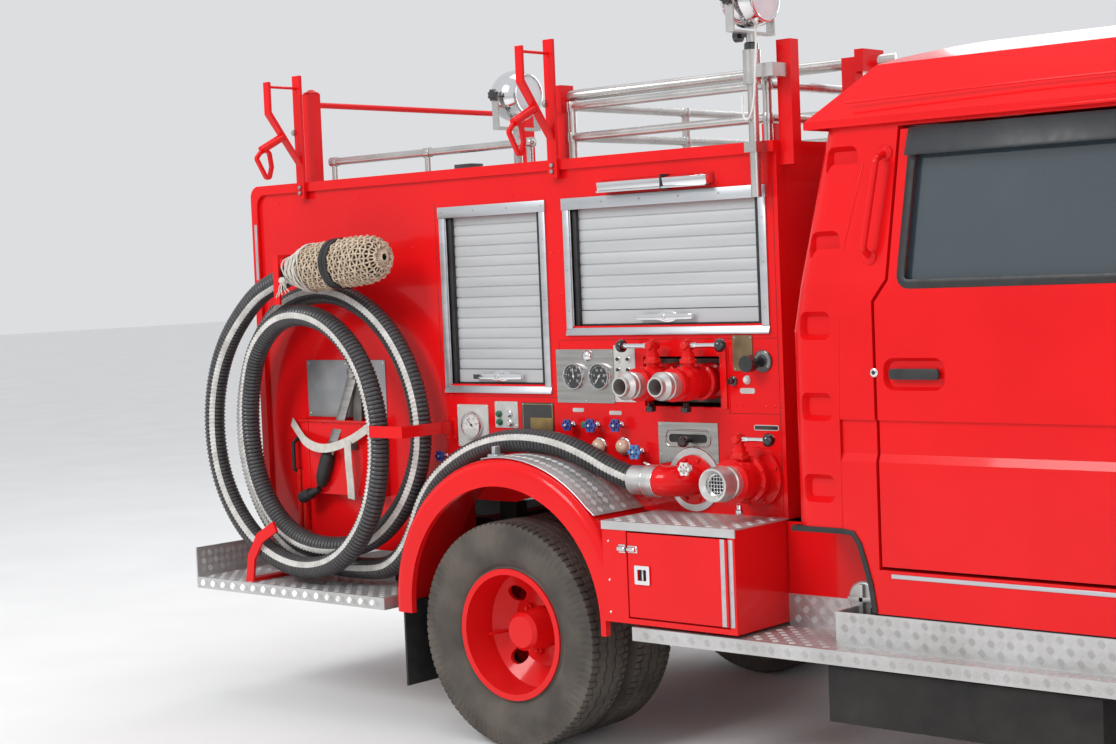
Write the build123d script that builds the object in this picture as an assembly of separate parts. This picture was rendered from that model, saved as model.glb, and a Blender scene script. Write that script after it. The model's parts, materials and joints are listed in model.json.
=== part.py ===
"""Crew-cab light fire truck with a pump body behind the cab.

Millimetres. X runs forward from the rear axle, Y to the truck's left, Z up from the road.
The saved pieces are moved so that X = 0 is the middle of the truck's length.
"""
from build123d import *
from math import cos, pi, radians, sin, sqrt, tan
import os

os.makedirs("parts", exist_ok=True)

# Running gear
WHEELBASE = 2800.0
TYRE_R = 374.0
TYRE_W = 196.0
TYRE_BEAD_R = 212.0
RIM_R = 218.0
RIM_W = 150.0
BARREL_R = 198.0
BARREL_WALL = 6.0
DUAL_Y = 803.0
DUAL_PITCH = 226.0
FRONT_TRACK_Y = 695.0
KINGPIN_Y = 600.0
KINGPIN_R = 18.0
SPINDLE_R = 30.0
RUNNING_GAP = 0.3
HUB_R = 72.0

# Chassis
RAIL_Y = 350.0
RAIL_W = 60.0
RAIL_TOP = 670.0
RAIL_H = 150.0
RAIL_WALL = 8.0
REAR_STEP_END = -1560.0
BUMPER_FRONT = 3880.0
BUMPER_BACK = 3786.0

# Cab
CAB_HALF = 850.0
CAB_TOP_HALF = 812.0
CAB_REAR = 1116.0
CAB_REAR_TOP = 1232.0
CAB_FRONT = 3780.0
CAB_BOTTOM = 560.0
CAB_FLOOR_UNDER = 700.0
CAB_TAIL_Z = 790.0
CAB_TAIL_FRONT = 1354.0
BELT_Z = 1485.0
DRIP_Z = 1930.0
CAB_WALL = 45.0
ARCH_R = 450.0
ARCH_INNER = 385.0
DOOR_GAP = 10.0
GLASS_T = 6.0
GLASS_IN = 18.0
ROOF_HALF = 715.0
ROOF_SHOULDER_Z = 2105.0
ROOF_CROWN_Z = 2200.0
ROOF_WALL = 28.0
ROOF_LIP = 20.0

# Equipment body
BODY_HALF = 657.0
BODY_REAR = -1450.0
BODY_FRONT = 970.0
BODY_TOP = 1924.0
BODY_FLOOR = 780.0
BODY_WALL = 42.0
BODY_FLOOR_T = 50.0
TAIL_INNER = 460.0
BODY_TAIL_Z = 571.0
DECK_Z = 1900.0
PANEL_T = 3.0
LIP_T = 14.0
LIP_W = 34.0
SEAM_GAP = 0.3

# Lower works outside the body
OUTER_HALF = 930.0
FENDER_X = 20.0
FENDER_Z = 450.0
FENDER_IN_R = 420.0
FENDER_OUT_R = 508.0
FENDER_T = 22.0
FENDER_FOOT_Z = 420.0
BOX_REAR = 460.0
BOX_FRONT = 966.0
BOX_LOW = 470.0
BOX_TOP = 780.0
BOX_WALL = 18.0
BOARD_TOP = 460.0
BOARD_LIP = 418.0
BOARD_T = 6.0
BOARD_FRONT = 2330.0
KICK_TOP = 556.0
STEP_FRONT = -536.0

# Suction hose
HOSE_R = 39.0


def box(x0, x1, y0, y1, z0, z1):
    """A block between two corners."""
    size = (abs(x1 - x0), abs(y1 - y0), abs(z1 - z0))
    return Pos((x0 + x1) / 2, (y0 + y1) / 2, (z0 + z1) / 2) * Box(*size)


def side_face(points, y=0.0):
    """A flat face in the side view: points are (x, z)."""
    return make_face(Polyline([(x, y, z) for x, z in points], close=True))


def side_prism(points, y0, y1):
    """A side-view outline carried across the truck from y0 to y1."""
    return extrude(side_face(points, y0), amount=abs(y1 - y0), dir=(0, 1 if y1 > y0 else -1, 0))


def front_prism(points, x0, x1):
    """A front-view outline of (y, z) points carried along the truck from x0 to x1."""
    face = make_face(Polyline([(x0, y, z) for y, z in points], close=True))
    return extrude(face, amount=x1 - x0, dir=(1, 0, 0))


def bar(p, q, radius):
    """A round bar from p to q."""
    line = Line(p, q)
    return sweep(Plane(origin=p, z_dir=Vector(*q) - Vector(*p)) * Circle(radius), path=line)


def rod_y(x, z, radius, y0, y1):
    """A round bar across the truck."""
    return bar((x, min(y0, y1), z), (x, max(y0, y1), z), radius)


def rod_z(x, y, radius, z0, z1):
    """An upright round bar."""
    return Pos(x, y, (z0 + z1) / 2) * Cylinder(radius, z1 - z0)


def rod_x(y, z, radius, x0, x1):
    """A round bar along the truck."""
    return bar((min(x0, x1), y, z), (max(x0, x1), y, z), radius)


def mirrored(shape):
    """The same piece on the other side of the truck."""
    return mirror(shape, about=Plane.XZ)


def both_sides(shapes):
    """Each right-hand piece with its left-hand twin."""
    return [half for shape in shapes for half in (shape, mirrored(shape))]


def turned(profile, x, z, y_sign=-1):
    """A wheel-like solid: profile points (across, radius) revolved about the axle line.

    across is measured outwards along Y from the truck's middle; y_sign -1 is the right side.
    """
    points = [(x, y_sign * across, z + radius) for across, radius in profile]
    face = make_face(Polyline(points, close=True))
    return revolve(face, axis=Axis((x, 0, z), (0, 1, 0)))


SHIFT_X = -(REAR_STEP_END + BUMPER_FRONT) / 2


def save(name, shapes):
    """Write one named piece, given as a shape or a list of separate solids."""
    solids = shapes if isinstance(shapes, list) else [shapes]
    flat = [solid for shape in solids for solid in shape.solids()]
    whole = Compound(children=[Pos(SHIFT_X, 0, 0) * solid for solid in flat]) if len(flat) > 1 else flat[0]
    if len(flat) == 1:
        whole = Pos(SHIFT_X, 0, 0) * whole
    export_step(whole, f"parts/{name}.step")


# Chassis frame, power train and running gear

RAIL_FRONT = BUMPER_BACK
RAIL_REAR = -1400.0
CROSS_MEMBERS_X = (-1360.0, -620.0, 620.0, 1500.0, 1770.0, 3350.0)
MEMBER_H = 50.0
OUTRIGGERS_X = (1350.0, 2150.0)
STEP_ARMS_X = (-1300.0, -760.0)
BODY_MOUNTS_X = (-1100.0, -450.0, 300.0, 820.0)
CAB_MOUNTS_X = (1450.0, 2150.0)
BOARD_ARM_Y = 780.0
ENGINE = (2420.0, 3120.0, 270.0, 470.0, 1030.0)


def chassis_frame():
    """Two channel rails, the members between them, body mounts, outriggers and step arms, bolted with thin seams."""
    low = RAIL_TOP - RAIL_H
    web = RAIL_Y + RAIL_W / 2
    rail = box(RAIL_REAR, RAIL_FRONT, -web, -RAIL_Y + RAIL_W / 2, low, RAIL_TOP)
    rail -= box(RAIL_REAR - 1, RAIL_FRONT + 1, -web + RAIL_WALL, -RAIL_Y + RAIL_W / 2 + 1,
                low + RAIL_WALL, RAIL_TOP - RAIL_WALL)
    side = [rail]
    for x in BODY_MOUNTS_X:
        side.append(box(x - 40, x + 40, -RAIL_Y - 28, -RAIL_Y + 28, RAIL_TOP + SEAM_GAP, BODY_FLOOR))
    for x in CAB_MOUNTS_X:
        side.append(box(x - 40, x + 40, -RAIL_Y - 28, -RAIL_Y + 28, RAIL_TOP + SEAM_GAP, CAB_FLOOR_UNDER))
    for x in OUTRIGGERS_X:
        arm = box(x - 20, x + 20, -web - SEAM_GAP, -BOARD_ARM_Y, low, low + 40)
        side.append(arm + box(x - 20, x + 20, -BOARD_ARM_Y + 80, -BOARD_ARM_Y, BOARD_TOP, low + 40))
    for x in STEP_ARMS_X:
        side.append(box(x - 20, x + 20, -web - SEAM_GAP, -640, BOARD_TOP, low + 20))
    members = []
    half = web - RAIL_WALL - SEAM_GAP
    top = RAIL_TOP - RAIL_WALL - SEAM_GAP
    for x in CROSS_MEMBERS_X:
        member = box(x - 35, x + 35, -half, half, top - MEMBER_H, top)
        members.append(member - box(x - 35 + RAIL_WALL, x + 36, -half + RAIL_WALL, half - RAIL_WALL,
                                    top - MEMBER_H + RAIL_WALL, top - RAIL_WALL))
    return both_sides(side) + members


def power_train():
    """Engine as one plain block, gearbox and shaft behind it."""
    x0, x1, half, z0, z1 = ENGINE
    engine = box(x0, x1, -half, half, z0, z1)
    gearbox = front_prism([(-130, 470), (130, 470), (170, 560), (110, 690), (-110, 690), (-170, 560)],
                          1830, x0)
    shaft = bar((206, 0, TYRE_R + 27), (1840, 0, 570), 38)
    for y in (-1, 1):
        engine += box(2650, 2710, y * half, y * (RAIL_Y + 10), RAIL_TOP, RAIL_TOP + 20)
    return engine + gearbox + shaft


def rear_axle():
    """Banjo axle with its drive head and spring seats."""
    tube_end = DUAL_Y - DUAL_PITCH - 40 - RUNNING_GAP
    axle = rod_y(0, TYRE_R, 52, -tube_end, tube_end)
    axle += Pos(0, 0, TYRE_R) * Sphere(150)
    axle += bar((60, 0, TYRE_R), (200, 0, TYRE_R + 26), 70)
    axle += rod_y(0, TYRE_R, SPINDLE_R, -DUAL_Y, DUAL_Y)
    for y in (-SPRING_Y, SPRING_Y):
        axle += box(-70, 70, y - 38, y + 38, TYRE_R - 20, SPRING_SEAT_Z)
    return axle


SPRING_Y = 420.0
FRONT_SPRING_Y = RAIL_Y
SPRING_SEAT_Z = TYRE_R + 70


def leaf_spring(x_mid, seat_z, span, y, leaves=4):
    """A bowed stack of leaves; each lower leaf is shorter."""
    stack = None
    for i in range(leaves):
        half = span / 2 * (1 - 0.2 * (leaves - 1 - i))
        z = seat_z + 10 * i
        rise = 70.0 * (half / (span / 2)) ** 2
        arc = ThreePointArc((x_mid - half, y, z + rise), (x_mid, y, z), (x_mid + half, y, z + rise))
        top = ThreePointArc((x_mid + half, y, z + rise + 10), (x_mid, y, z + 10),
                            (x_mid - half, y, z + rise + 10))
        face = make_face([arc, Line(arc @ 1, top @ 0), top, Line(top @ 1, arc @ 0)])
        leaf = extrude(face, amount=30, dir=(0, 1, 0), both=True)
        stack = leaf if stack is None else stack + leaf
    eye_z = seat_z + 10 * (leaves - 1) + 70
    low = RAIL_TOP - RAIL_H
    for x in (x_mid - span / 2, x_mid + span / 2):
        stack += rod_y(x, eye_z + 5, 20, y - 30, y + 30)
        side = 1 if y > 0 else -1
        web = side * (RAIL_Y + RAIL_W / 2)
        if abs(y) > abs(web):
            stack += box(x - 30, x + 30, web, y + side * 30, eye_z, low + 60)
        else:
            stack += box(x - 26, x + 26, y - 30, y + 30, eye_z + 5, low)
    return stack


def tyre_solid(middle):
    """A tyre ring about the axle line; middle is its distance from the truck's middle."""
    half = TYRE_W / 2
    profile = [(-62, TYRE_BEAD_R), (62, TYRE_BEAD_R), (half - 12, 250), (half, 290), (half - 3, 330),
               (half - 18, 362), (half - 36, TYRE_R), (-half + 36, TYRE_R), (-half + 18, 362),
               (-half + 3, 330), (-half, 290), (-half + 12, 250)]
    return [(middle + across, radius) for across, radius in profile]


def rim_profile(middle):
    """The flanged barrel of a rim; middle is its distance from the truck's middle."""
    half = RIM_W / 2
    wall = BARREL_WALL
    return [(middle + half, RIM_R), (middle + half - 8, RIM_R), (middle + half - 10, BARREL_R + wall),
            (middle - half + 10, BARREL_R + wall), (middle - half + 8, RIM_R), (middle - half, RIM_R),
            (middle - half, BARREL_R), (middle + half, BARREL_R)]


HAND_HOLES = 4
HAND_HOLE_R = 28.0
HAND_HOLE_PLACE = 150.0


def hand_holes():
    """Round cutters for a disc's hand holes, about the axle line."""
    step = 360 / HAND_HOLES
    return [Rot(0, (i + 0.5) * step, 0) * Pos(HAND_HOLE_PLACE, 0, 0) * Rot(90, 0, 0) * Cylinder(HAND_HOLE_R, 400)
            for i in range(HAND_HOLES)]


def wheel_pair(y_sign):
    """Twin rear tyres and rims of one side."""
    tyres = []
    rims = None
    for middle, face_y in ((DUAL_Y, DUAL_Y - DUAL_PITCH / 2 + 8), (DUAL_Y - DUAL_PITCH, DUAL_Y - DUAL_PITCH / 2 - 8)):
        tyres.append(turned(tyre_solid(middle), 0, TYRE_R, y_sign))
        ring = turned(rim_profile(middle), 0, TYRE_R, y_sign)
        away = 1 if middle > face_y else -1
        disc = turned([(middle - away * 50, BARREL_R + 3), (middle - away * 62, BARREL_R + 3),
                       (face_y - away * 8, 140), (face_y - away * 8, SPINDLE_R + RUNNING_GAP),
                       (face_y + away * 6, SPINDLE_R + RUNNING_GAP), (face_y + away * 6, 132)],
                      0, TYRE_R, y_sign)
        for hole in hand_holes():
            disc -= Pos(0, y_sign * face_y, TYRE_R) * hole
        rims = ring + disc if rims is None else rims + ring + disc
    hub = turned([(DUAL_Y - DUAL_PITCH - 40, SPINDLE_R + RUNNING_GAP), (DUAL_Y - DUAL_PITCH - 40, 160),
                  (DUAL_Y - DUAL_PITCH + 50, 160), (DUAL_Y - DUAL_PITCH + 70, 110), (DUAL_Y - 105, 110),
                  (DUAL_Y - 105, HUB_R), (DUAL_Y + 10, HUB_R - 8), (DUAL_Y + 22, HUB_R - 20),
                  (DUAL_Y + 22, 0), (DUAL_Y + 4, 0), (DUAL_Y + 4, SPINDLE_R + RUNNING_GAP)],
                 0, TYRE_R, y_sign)
    return tyres, rims + hub


def front_wheel(y_sign):
    """One front tyre and its rim with a disc that bows outwards."""
    middle = FRONT_TRACK_Y
    tyre = turned(tyre_solid(middle), WHEELBASE, TYRE_R, y_sign)
    ring = turned(rim_profile(middle), WHEELBASE, TYRE_R, y_sign)
    bore = SPINDLE_R + RUNNING_GAP
    disc = turned([(middle + 10, BARREL_R + 3), (middle - 4, BARREL_R + 3), (middle + 44, 128),
                   (middle + 44, bore), (middle + 58, bore), (middle + 58, 134)], WHEELBASE, TYRE_R, y_sign)
    for hole in hand_holes():
        disc -= Pos(WHEELBASE, y_sign * middle, TYRE_R) * hole
    drum = turned([(middle - 45, bore), (middle - 45, 150), (middle + 40, 150), (middle + 50, 70),
                   (middle + 84, 62), (middle + 92, 50), (middle + 92, 0), (middle + 78, 0),
                   (middle + 78, bore)], WHEELBASE, TYRE_R, y_sign)
    return tyre, ring + disc + drum


KNUCKLE_EAR = 26.0
EYE_HALF = 34.0


def front_axle():
    """Dropped beam between the two steering eyes, with spring seats."""
    low = TYRE_R - 70
    beam = box(WHEELBASE - 35, WHEELBASE + 35, -540, 540, low, low + 70)
    beam -= box(WHEELBASE + 12, WHEELBASE + 36, -500, 500, low + 14, low + 56)
    beam -= box(WHEELBASE - 36, WHEELBASE - 12, -500, 500, low + 14, low + 56)
    for y in (-1, 1):
        beam += front_prism([(y * 500, low), (y * 500, low + 70), (y * (KINGPIN_Y - 34), TYRE_R + EYE_HALF),
                             (y * (KINGPIN_Y - 34), TYRE_R - EYE_HALF)], WHEELBASE - 28, WHEELBASE + 28)
        beam += box(WHEELBASE - 28, WHEELBASE + 28, y * (KINGPIN_Y - 34), y * (KINGPIN_Y - 16),
                    TYRE_R - EYE_HALF, TYRE_R + EYE_HALF)
        beam += rod_z(WHEELBASE, y * KINGPIN_Y, 32, TYRE_R - EYE_HALF, TYRE_R + EYE_HALF)
        beam -= rod_z(WHEELBASE, y * KINGPIN_Y, KINGPIN_R + RUNNING_GAP, TYRE_R - 100, TYRE_R + 100)
        beam += box(WHEELBASE - 60, WHEELBASE + 60, y * FRONT_SPRING_Y - 38, y * FRONT_SPRING_Y + 38,
                    low + 70, low + 90)
    return beam


def knuckle(y_sign):
    """Forked steering knuckle: kingpin, two ears and the stub axle."""
    y = y_sign * KINGPIN_Y
    ear_low = TYRE_R + EYE_HALF + 2
    body = rod_z(WHEELBASE, y, KINGPIN_R, TYRE_R - EYE_HALF - 2 - KNUCKLE_EAR, ear_low + KNUCKLE_EAR)
    body += rod_z(WHEELBASE, y, 30, ear_low, ear_low + KNUCKLE_EAR)
    body += rod_z(WHEELBASE, y, 30, TYRE_R - EYE_HALF - 2 - KNUCKLE_EAR, TYRE_R - EYE_HALF - 2)
    back = y_sign * (KINGPIN_Y + 34)
    body += box(WHEELBASE - 30, WHEELBASE + 30, back, y_sign * (KINGPIN_Y + 48),
                TYRE_R - EYE_HALF - 2 - KNUCKLE_EAR, ear_low + KNUCKLE_EAR)
    for z0 in (ear_low, TYRE_R - EYE_HALF - 2 - KNUCKLE_EAR):
        body += box(WHEELBASE - 26, WHEELBASE + 26, y, y_sign * (KINGPIN_Y + 40), z0, z0 + KNUCKLE_EAR)
    body += rod_y(WHEELBASE, TYRE_R, SPINDLE_R, back, y_sign * (FRONT_TRACK_Y + 70))
    return body


# Cab

WINDSCREEN_TOP_X = 3470.0
WINDSCREEN_FOOT = (3740.0, 1350.0)
FRONT_CORNER = (CAB_FRONT, 900.0)
CAB_REAR_BEND_Z = 1360.0
ENGINE_COVER = 65.0
COVER_WALL = 25.0


def cab_section(inset, top=DRIP_Z):
    """Front view of the cab's sides moved in by inset, up to a height."""
    side_lean = (CAB_HALF - CAB_TOP_HALF) / (DRIP_Z - BELT_Z)
    half_low = CAB_HALF - inset
    half_top = half_low - side_lean * (top - BELT_Z)
    low = CAB_BOTTOM - 10
    return [(-half_low, low), (-half_low, BELT_Z), (-half_top, top), (half_top, top), (half_low, BELT_Z),
            (half_low, low)]


def side_layer(outer, inner):
    """A layer along both cab sides between two insets."""
    top = DRIP_Z + 100
    return front_prism(cab_section(outer, top), 1000, 3900) - front_prism(cab_section(inner, top), 1000, 3900)


def cab_volume(inset, floor):
    """The cab's outer form moved in by inset; floor is the list of underside points (x, z)."""
    slope = (DRIP_Z - WINDSCREEN_FOOT[1]) / (WINDSCREEN_FOOT[0] - WINDSCREEN_TOP_X)
    lean = inset * sqrt(1 + 1 / slope ** 2)
    top = DRIP_Z + (400 if inset else 0)
    top_x = WINDSCREEN_TOP_X - (top - DRIP_Z) / slope
    back_lean = (CAB_REAR_TOP - CAB_REAR) / (DRIP_Z - CAB_REAR_BEND_Z)
    side = [(CAB_REAR + inset, CAB_REAR_BEND_Z), (CAB_REAR_TOP + back_lean * (top - DRIP_Z) + inset, top),
            (top_x - lean, top), (WINDSCREEN_FOOT[0] - lean, WINDSCREEN_FOOT[1]),
            (CAB_FRONT - inset, FRONT_CORNER[1])] + floor
    return side_prism(side, -900, 900) & front_prism(cab_section(inset, top), 1000, 3900)


def outer_floor():
    """Underside of the cab's outer form, from the front back to the tail behind the curved notch."""
    return [(CAB_FRONT, CAB_BOTTOM), (CAB_TAIL_FRONT + 42, CAB_BOTTOM), (CAB_TAIL_FRONT + 28, CAB_TAIL_Z - 150),
            (CAB_TAIL_FRONT + 12, CAB_TAIL_Z - 86), (CAB_TAIL_FRONT - 8, CAB_TAIL_Z - 38),
            (CAB_TAIL_FRONT - 36, CAB_TAIL_Z - 8), (CAB_TAIL_FRONT - 70, CAB_TAIL_Z), (CAB_REAR, CAB_TAIL_Z)]


def inner_floor(inset):
    """Top of the cab floor: low in the rear footwell, high over the front wheels."""
    return [(CAB_FRONT - inset, FRONT_FLOOR_Z), (REAR_WELL_FRONT, FRONT_FLOOR_Z),
            (REAR_WELL_FRONT, REAR_FLOOR_Z), (REAR_WELL_REAR, REAR_FLOOR_Z),
            (REAR_WELL_REAR, CAB_TAIL_Z + 50), (CAB_REAR + inset, CAB_TAIL_Z + 50)]


FRONT_FLOOR_Z = 862.0
REAR_FLOOR_Z = 730.0
REAR_WELL_FRONT = 2290.0
REAR_WELL_REAR = 1430.0

REAR_DOOR = [(1408, 685), (1408, 1440), (1455, 1500), (1490, 1921), (2238, 1921), (2238, 685)]
FRONT_DOOR = [(2270, 685), (2270, 1921), (3330, 1921), (3480, 1485), (3480, 872), (2490, 872), (2370, 685)]
REAR_WINDOW = [(1507, 1488), (1545, 1893), (2190, 1893), (2190, 1488)]
FRONT_WINDOW = [(2318, 1488), (2318, 1893), (3290, 1893), (3428, 1488)]
SCREEN_HALF_LOW = 745.0
SCREEN_HALF_TOP = 700.0
SCREEN_LOW = 1390.0
SCREEN_TOP = 1880.0
BACK_WINDOW = (-480.0, 480.0, 1480.0, 1840.0)
STEP_POCKETS = [(1306, 1838), (1250, 1602), (1216, 1373), (1214, 1141), (1214, 907)]
POCKET = (112.0, 82.0, 26.0, 26.0)
HANDLE_RECESS = (196.0, 92.0, 34.0, 16.0)
RECESS_TAPER = 30.0
# A pressed groove runs along the sides: top, floor and foot heights
GROOVE = (1107.0, 1012.0, 986.0)
GROOVE_DEEP = 9.0
GROOVE_X = (1288.0, 3660.0)
CAB_CORNER_R = 70.0
# The side walls are parted from the rest well inside the rounded corners
SIDE_SEAM = CAB_CORNER_R + 40


def shrunk(points, amount):
    """A side-view outline moved inwards all round."""
    return offset(side_face(points), amount=-amount)


def through(face, y_sign, y0=700.0, y1=900.0):
    """A side-view face carried through one side wall."""
    return extrude(Pos(0, y_sign * y0, 0) * face, amount=y1 - y0, dir=(0, y_sign, 0))


def side_y(z, inset=0.0):
    """Distance of the cab's side from the middle at a height."""
    return CAB_HALF - inset - max(0, z - BELT_Z) * (CAB_HALF - CAB_TOP_HALF) / (DRIP_Z - BELT_Z)


def recess(x, z, form):
    """A rounded recess with sloping walls in the right cab side; form is width, height, corner and depth."""
    width, height, corner, deep = form
    cutter = extrude(RectangleRounded(width, height, corner), amount=deep + 1, taper=RECESS_TAPER)
    return Pos(x, -side_y(z) - 1, z) * Rot(-90, 0, 0) * cutter


def cab_outside():
    """The cab's outer form with rounded corners, the side groove and the step recesses."""
    outer = cab_volume(0, outer_floor())
    upright = [e for e in outer.edges() if abs(e.tangent_at(0.5).Z) > 0.8]
    outer = fillet([e for e in upright if e.center().X < 1240 or e.center().X > 3500],
                   CAB_CORNER_R)
    top, floor, foot = GROOVE
    edge, deep = CAB_HALF + 1, CAB_HALF - GROOVE_DEEP
    for y in (-1, 1):
        outer -= front_prism([(y * edge, top), (y * deep, top - 1), (y * deep, floor), (y * edge, foot)], *GROOVE_X)
    for x, z in STEP_POCKETS:
        for cutter in both_sides([recess(x, z, POCKET)]):
            outer -= cutter
    return outer


def cab_wall():
    """The whole cab as one shell before the doors are parted from it."""
    outer = cab_outside()
    inner = cab_volume(CAB_WALL, inner_floor(CAB_WALL))
    x0, x1, half, z0, z1 = ENGINE
    cover = ENGINE_COVER
    inner -= box(x0 - cover, x1 + cover, -half - cover, half + cover, CAB_BOTTOM, z1 + cover)
    shell = outer - inner
    under = CAB_HALF - CAB_WALL
    shell -= box(CAB_TAIL_FRONT - 100, CAB_FRONT - CAB_WALL, -under, under, CAB_BOTTOM - 20, CAB_FLOOR_UNDER)
    room = ENGINE_COVER - COVER_WALL
    shell -= box(x0 - room, x1 + room, -half - room, half + room, CAB_BOTTOM, z1 + room)
    rail_clear = RAIL_Y + RAIL_W / 2 + 20
    shell -= box(CAB_FRONT - 90, CAB_FRONT + 1, -rail_clear, rail_clear, CAB_BOTTOM - 1, RAIL_TOP + 20)
    for y in (-1, 1):
        shell -= rod_y(WHEELBASE, TYRE_R, ARCH_R, y * ARCH_INNER, y * 900)
    return shell


def part_seams(shell):
    """Thin seams that part the shell into its side walls, back, front, floor pans, wheel houses and engine cover."""
    shell -= side_layer(SIDE_SEAM, SIDE_SEAM + SEAM_GAP)
    under = CAB_HALF - CAB_WALL
    x0, x1, half, _, z1 = ENGINE
    tunnel = half + ENGINE_COVER
    front = CAB_FRONT - CAB_WALL
    shell -= box(CAB_REAR - 1, CAB_REAR + CAB_WALL + 60, -under, under, CAB_TAIL_Z + 50, CAB_TAIL_Z + 50 + SEAM_GAP)
    for x, top in ((REAR_WELL_REAR, CAB_TAIL_Z + 50), (REAR_WELL_FRONT, FRONT_FLOOR_Z), (front - SEAM_GAP, FRONT_FLOOR_Z)):
        shell -= box(x, x + SEAM_GAP, -under, under, CAB_BOTTOM - 1, top + 1)
    for x in (x0 - ENGINE_COVER - SEAM_GAP, x1 + ENGINE_COVER):
        shell -= box(x, x + SEAM_GAP, -tunnel, tunnel, CAB_BOTTOM - 1, FRONT_FLOOR_Z + 1)
    for y in (tunnel, ARCH_INNER):
        for sign in (-1, 1):
            shell -= box(REAR_WELL_FRONT, front, sign * y, sign * (y + SEAM_GAP), CAB_BOTTOM - 1, FRONT_FLOOR_Z + 1)
    door_low, door_top = REAR_DOOR[0][1], REAR_DOOR[3][1]
    pillar = REAR_DOOR[4][0], FRONT_DOOR[0][0]
    reach = (CAB_TOP_HALF - SIDE_SEAM, CAB_HALF + 1)
    for sign in (-1, 1):
        y0, y1 = sign * reach[0], sign * reach[1]
        shell -= box(*pillar, y0, y1, door_top, door_top + SEAM_GAP)
        shell -= box(*pillar, y0, y1, door_low - SEAM_GAP, door_low)
        for x in (REAR_DOOR[3][0] + RAIL_END, FRONT_DOOR[2][0] - RAIL_END):
            shell -= box(x, x + SEAM_GAP, y0, y1, door_top - 1, DRIP_Z + 1)
    return shell


# How far the rail over the doors ends from their top corners
RAIL_END = 10.0


# Feet and bends of the grab handle beside the rear door: x, z and how far it stands off the side
GRAB = [(1452, 1850, -4), (1448, 1832, 44), (1410, 1586, 44), (1404, 1562, -4)]
GRAB_R = 10.0


def grab_handle():
    """Red grab handle on the right door pillar."""
    points = [(x, -side_y(z) - off, z) for x, z, off in GRAB]
    path = FilletPolyline(*points, radius=16)
    return sweep(Plane(origin=path @ 0, z_dir=path % 0) * Circle(GRAB_R), path=path) - cab_volume(0, outer_floor())


def screen_prism(x0, x1):
    """The windscreen's opening as a block through the front."""
    return front_prism([(-SCREEN_HALF_LOW, SCREEN_LOW), (-SCREEN_HALF_TOP, SCREEN_TOP),
                        (SCREEN_HALF_TOP, SCREEN_TOP), (SCREEN_HALF_LOW, SCREEN_LOW)], x0, x1)


def glass_layer():
    """A thin layer inside the cab wall where every pane lies."""
    return cab_volume(GLASS_IN, outer_floor()) - cab_volume(GLASS_IN + GLASS_T, outer_floor())


def cab():
    """The cab shell, the four doors and all panes."""
    shell = cab_wall()
    layer = glass_layer()
    doors, panes = {}, {}
    for end, outline, window in (("rear", REAR_DOOR, REAR_WINDOW), ("front", FRONT_DOOR, FRONT_WINDOW)):
        for side, y in (("right", -1), ("left", 1)):
            cut = through(shrunk(outline, DOOR_GAP), y)
            hole = through(side_face(window), y)
            door = (shell & cut) - hole
            for cutter in both_sides([recess(*HANDLES[end], HANDLE_RECESS)]):
                door -= cutter
            doors[f"door_{end}_{side}"] = door
            panes[f"door_glass_{end}_{side}"] = layer & hole
    for outline in (REAR_DOOR, FRONT_DOOR):
        for y in (-1, 1):
            shell -= through(side_face(outline), y)
    shell -= screen_prism(3380, 3850)
    y0, y1, z0, z1 = BACK_WINDOW
    back = box(1000, 1330, y0, y1, z0, z1)
    shell -= back
    panes["cab_glass"] = [layer & screen_prism(3380, 3850), layer & back]
    return part_seams(shell), doors, panes


HANDLES = {"rear": (1538.0, 1236.0), "front": (2410.0, 1236.0)}


def roof_volume(inset):
    """The raised roof's form moved in by inset."""
    base = DRIP_Z - (50 if inset else 0)
    half = CAB_TOP_HALF + ROOF_LIP - inset
    crown = ROOF_CROWN_Z - inset
    shoulder = ROOF_SHOULDER_Z - inset
    left = Line((1000, -half, base), (1000, -half, DRIP_Z + 22))
    chamfer = Line(left @ 1, (1000, -ROOF_HALF + inset, shoulder))
    top = ThreePointArc(chamfer @ 1, (1000, 0, crown), (1000, ROOF_HALF - inset, shoulder))
    down = Line(top @ 1, (1000, half, DRIP_Z + 22))
    right = Line(down @ 1, (1000, half, base))
    section = extrude(make_face([left, chamfer, top, down, right, Line(right @ 1, left @ 0)]), 2800, dir=(1, 0, 0))
    side = [(1190 + inset, base), (1190 + inset, DRIP_Z + 20), (1300 + inset, 2045 - inset * 0.5),
            (1390 + inset, 2125 - inset), (1620 + inset, ROOF_CROWN_Z + 5 - inset),
            (3020 - inset, ROOF_CROWN_Z + 5 - inset), (3240 - inset, 2140 - inset),
            (WINDSCREEN_TOP_X + 6 - inset, DRIP_Z + 30), (WINDSCREEN_TOP_X + 14 - inset, base)]
    return section & side_prism(side, -900, 900)


ROOF_SEAM_Y = 680.0
ROOF_SEAMS_X = (1440.0, 3230.0)


def cab_roof():
    """The raised roof, open below, with the seams between its side, top, front and rear panels."""
    roof = roof_volume(0) - roof_volume(ROOF_WALL)
    for sign in (-1, 1):
        roof -= box(1000, 3800, sign * ROOF_SEAM_Y, sign * (ROOF_SEAM_Y + SEAM_GAP), DRIP_Z - 60, ROOF_CROWN_Z + 10)
    for x in ROOF_SEAMS_X:
        roof -= box(x, x + SEAM_GAP, -ROOF_SEAM_Y, ROOF_SEAM_Y, DRIP_Z - 60, ROOF_CROWN_Z + 10)
    return roof


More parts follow.
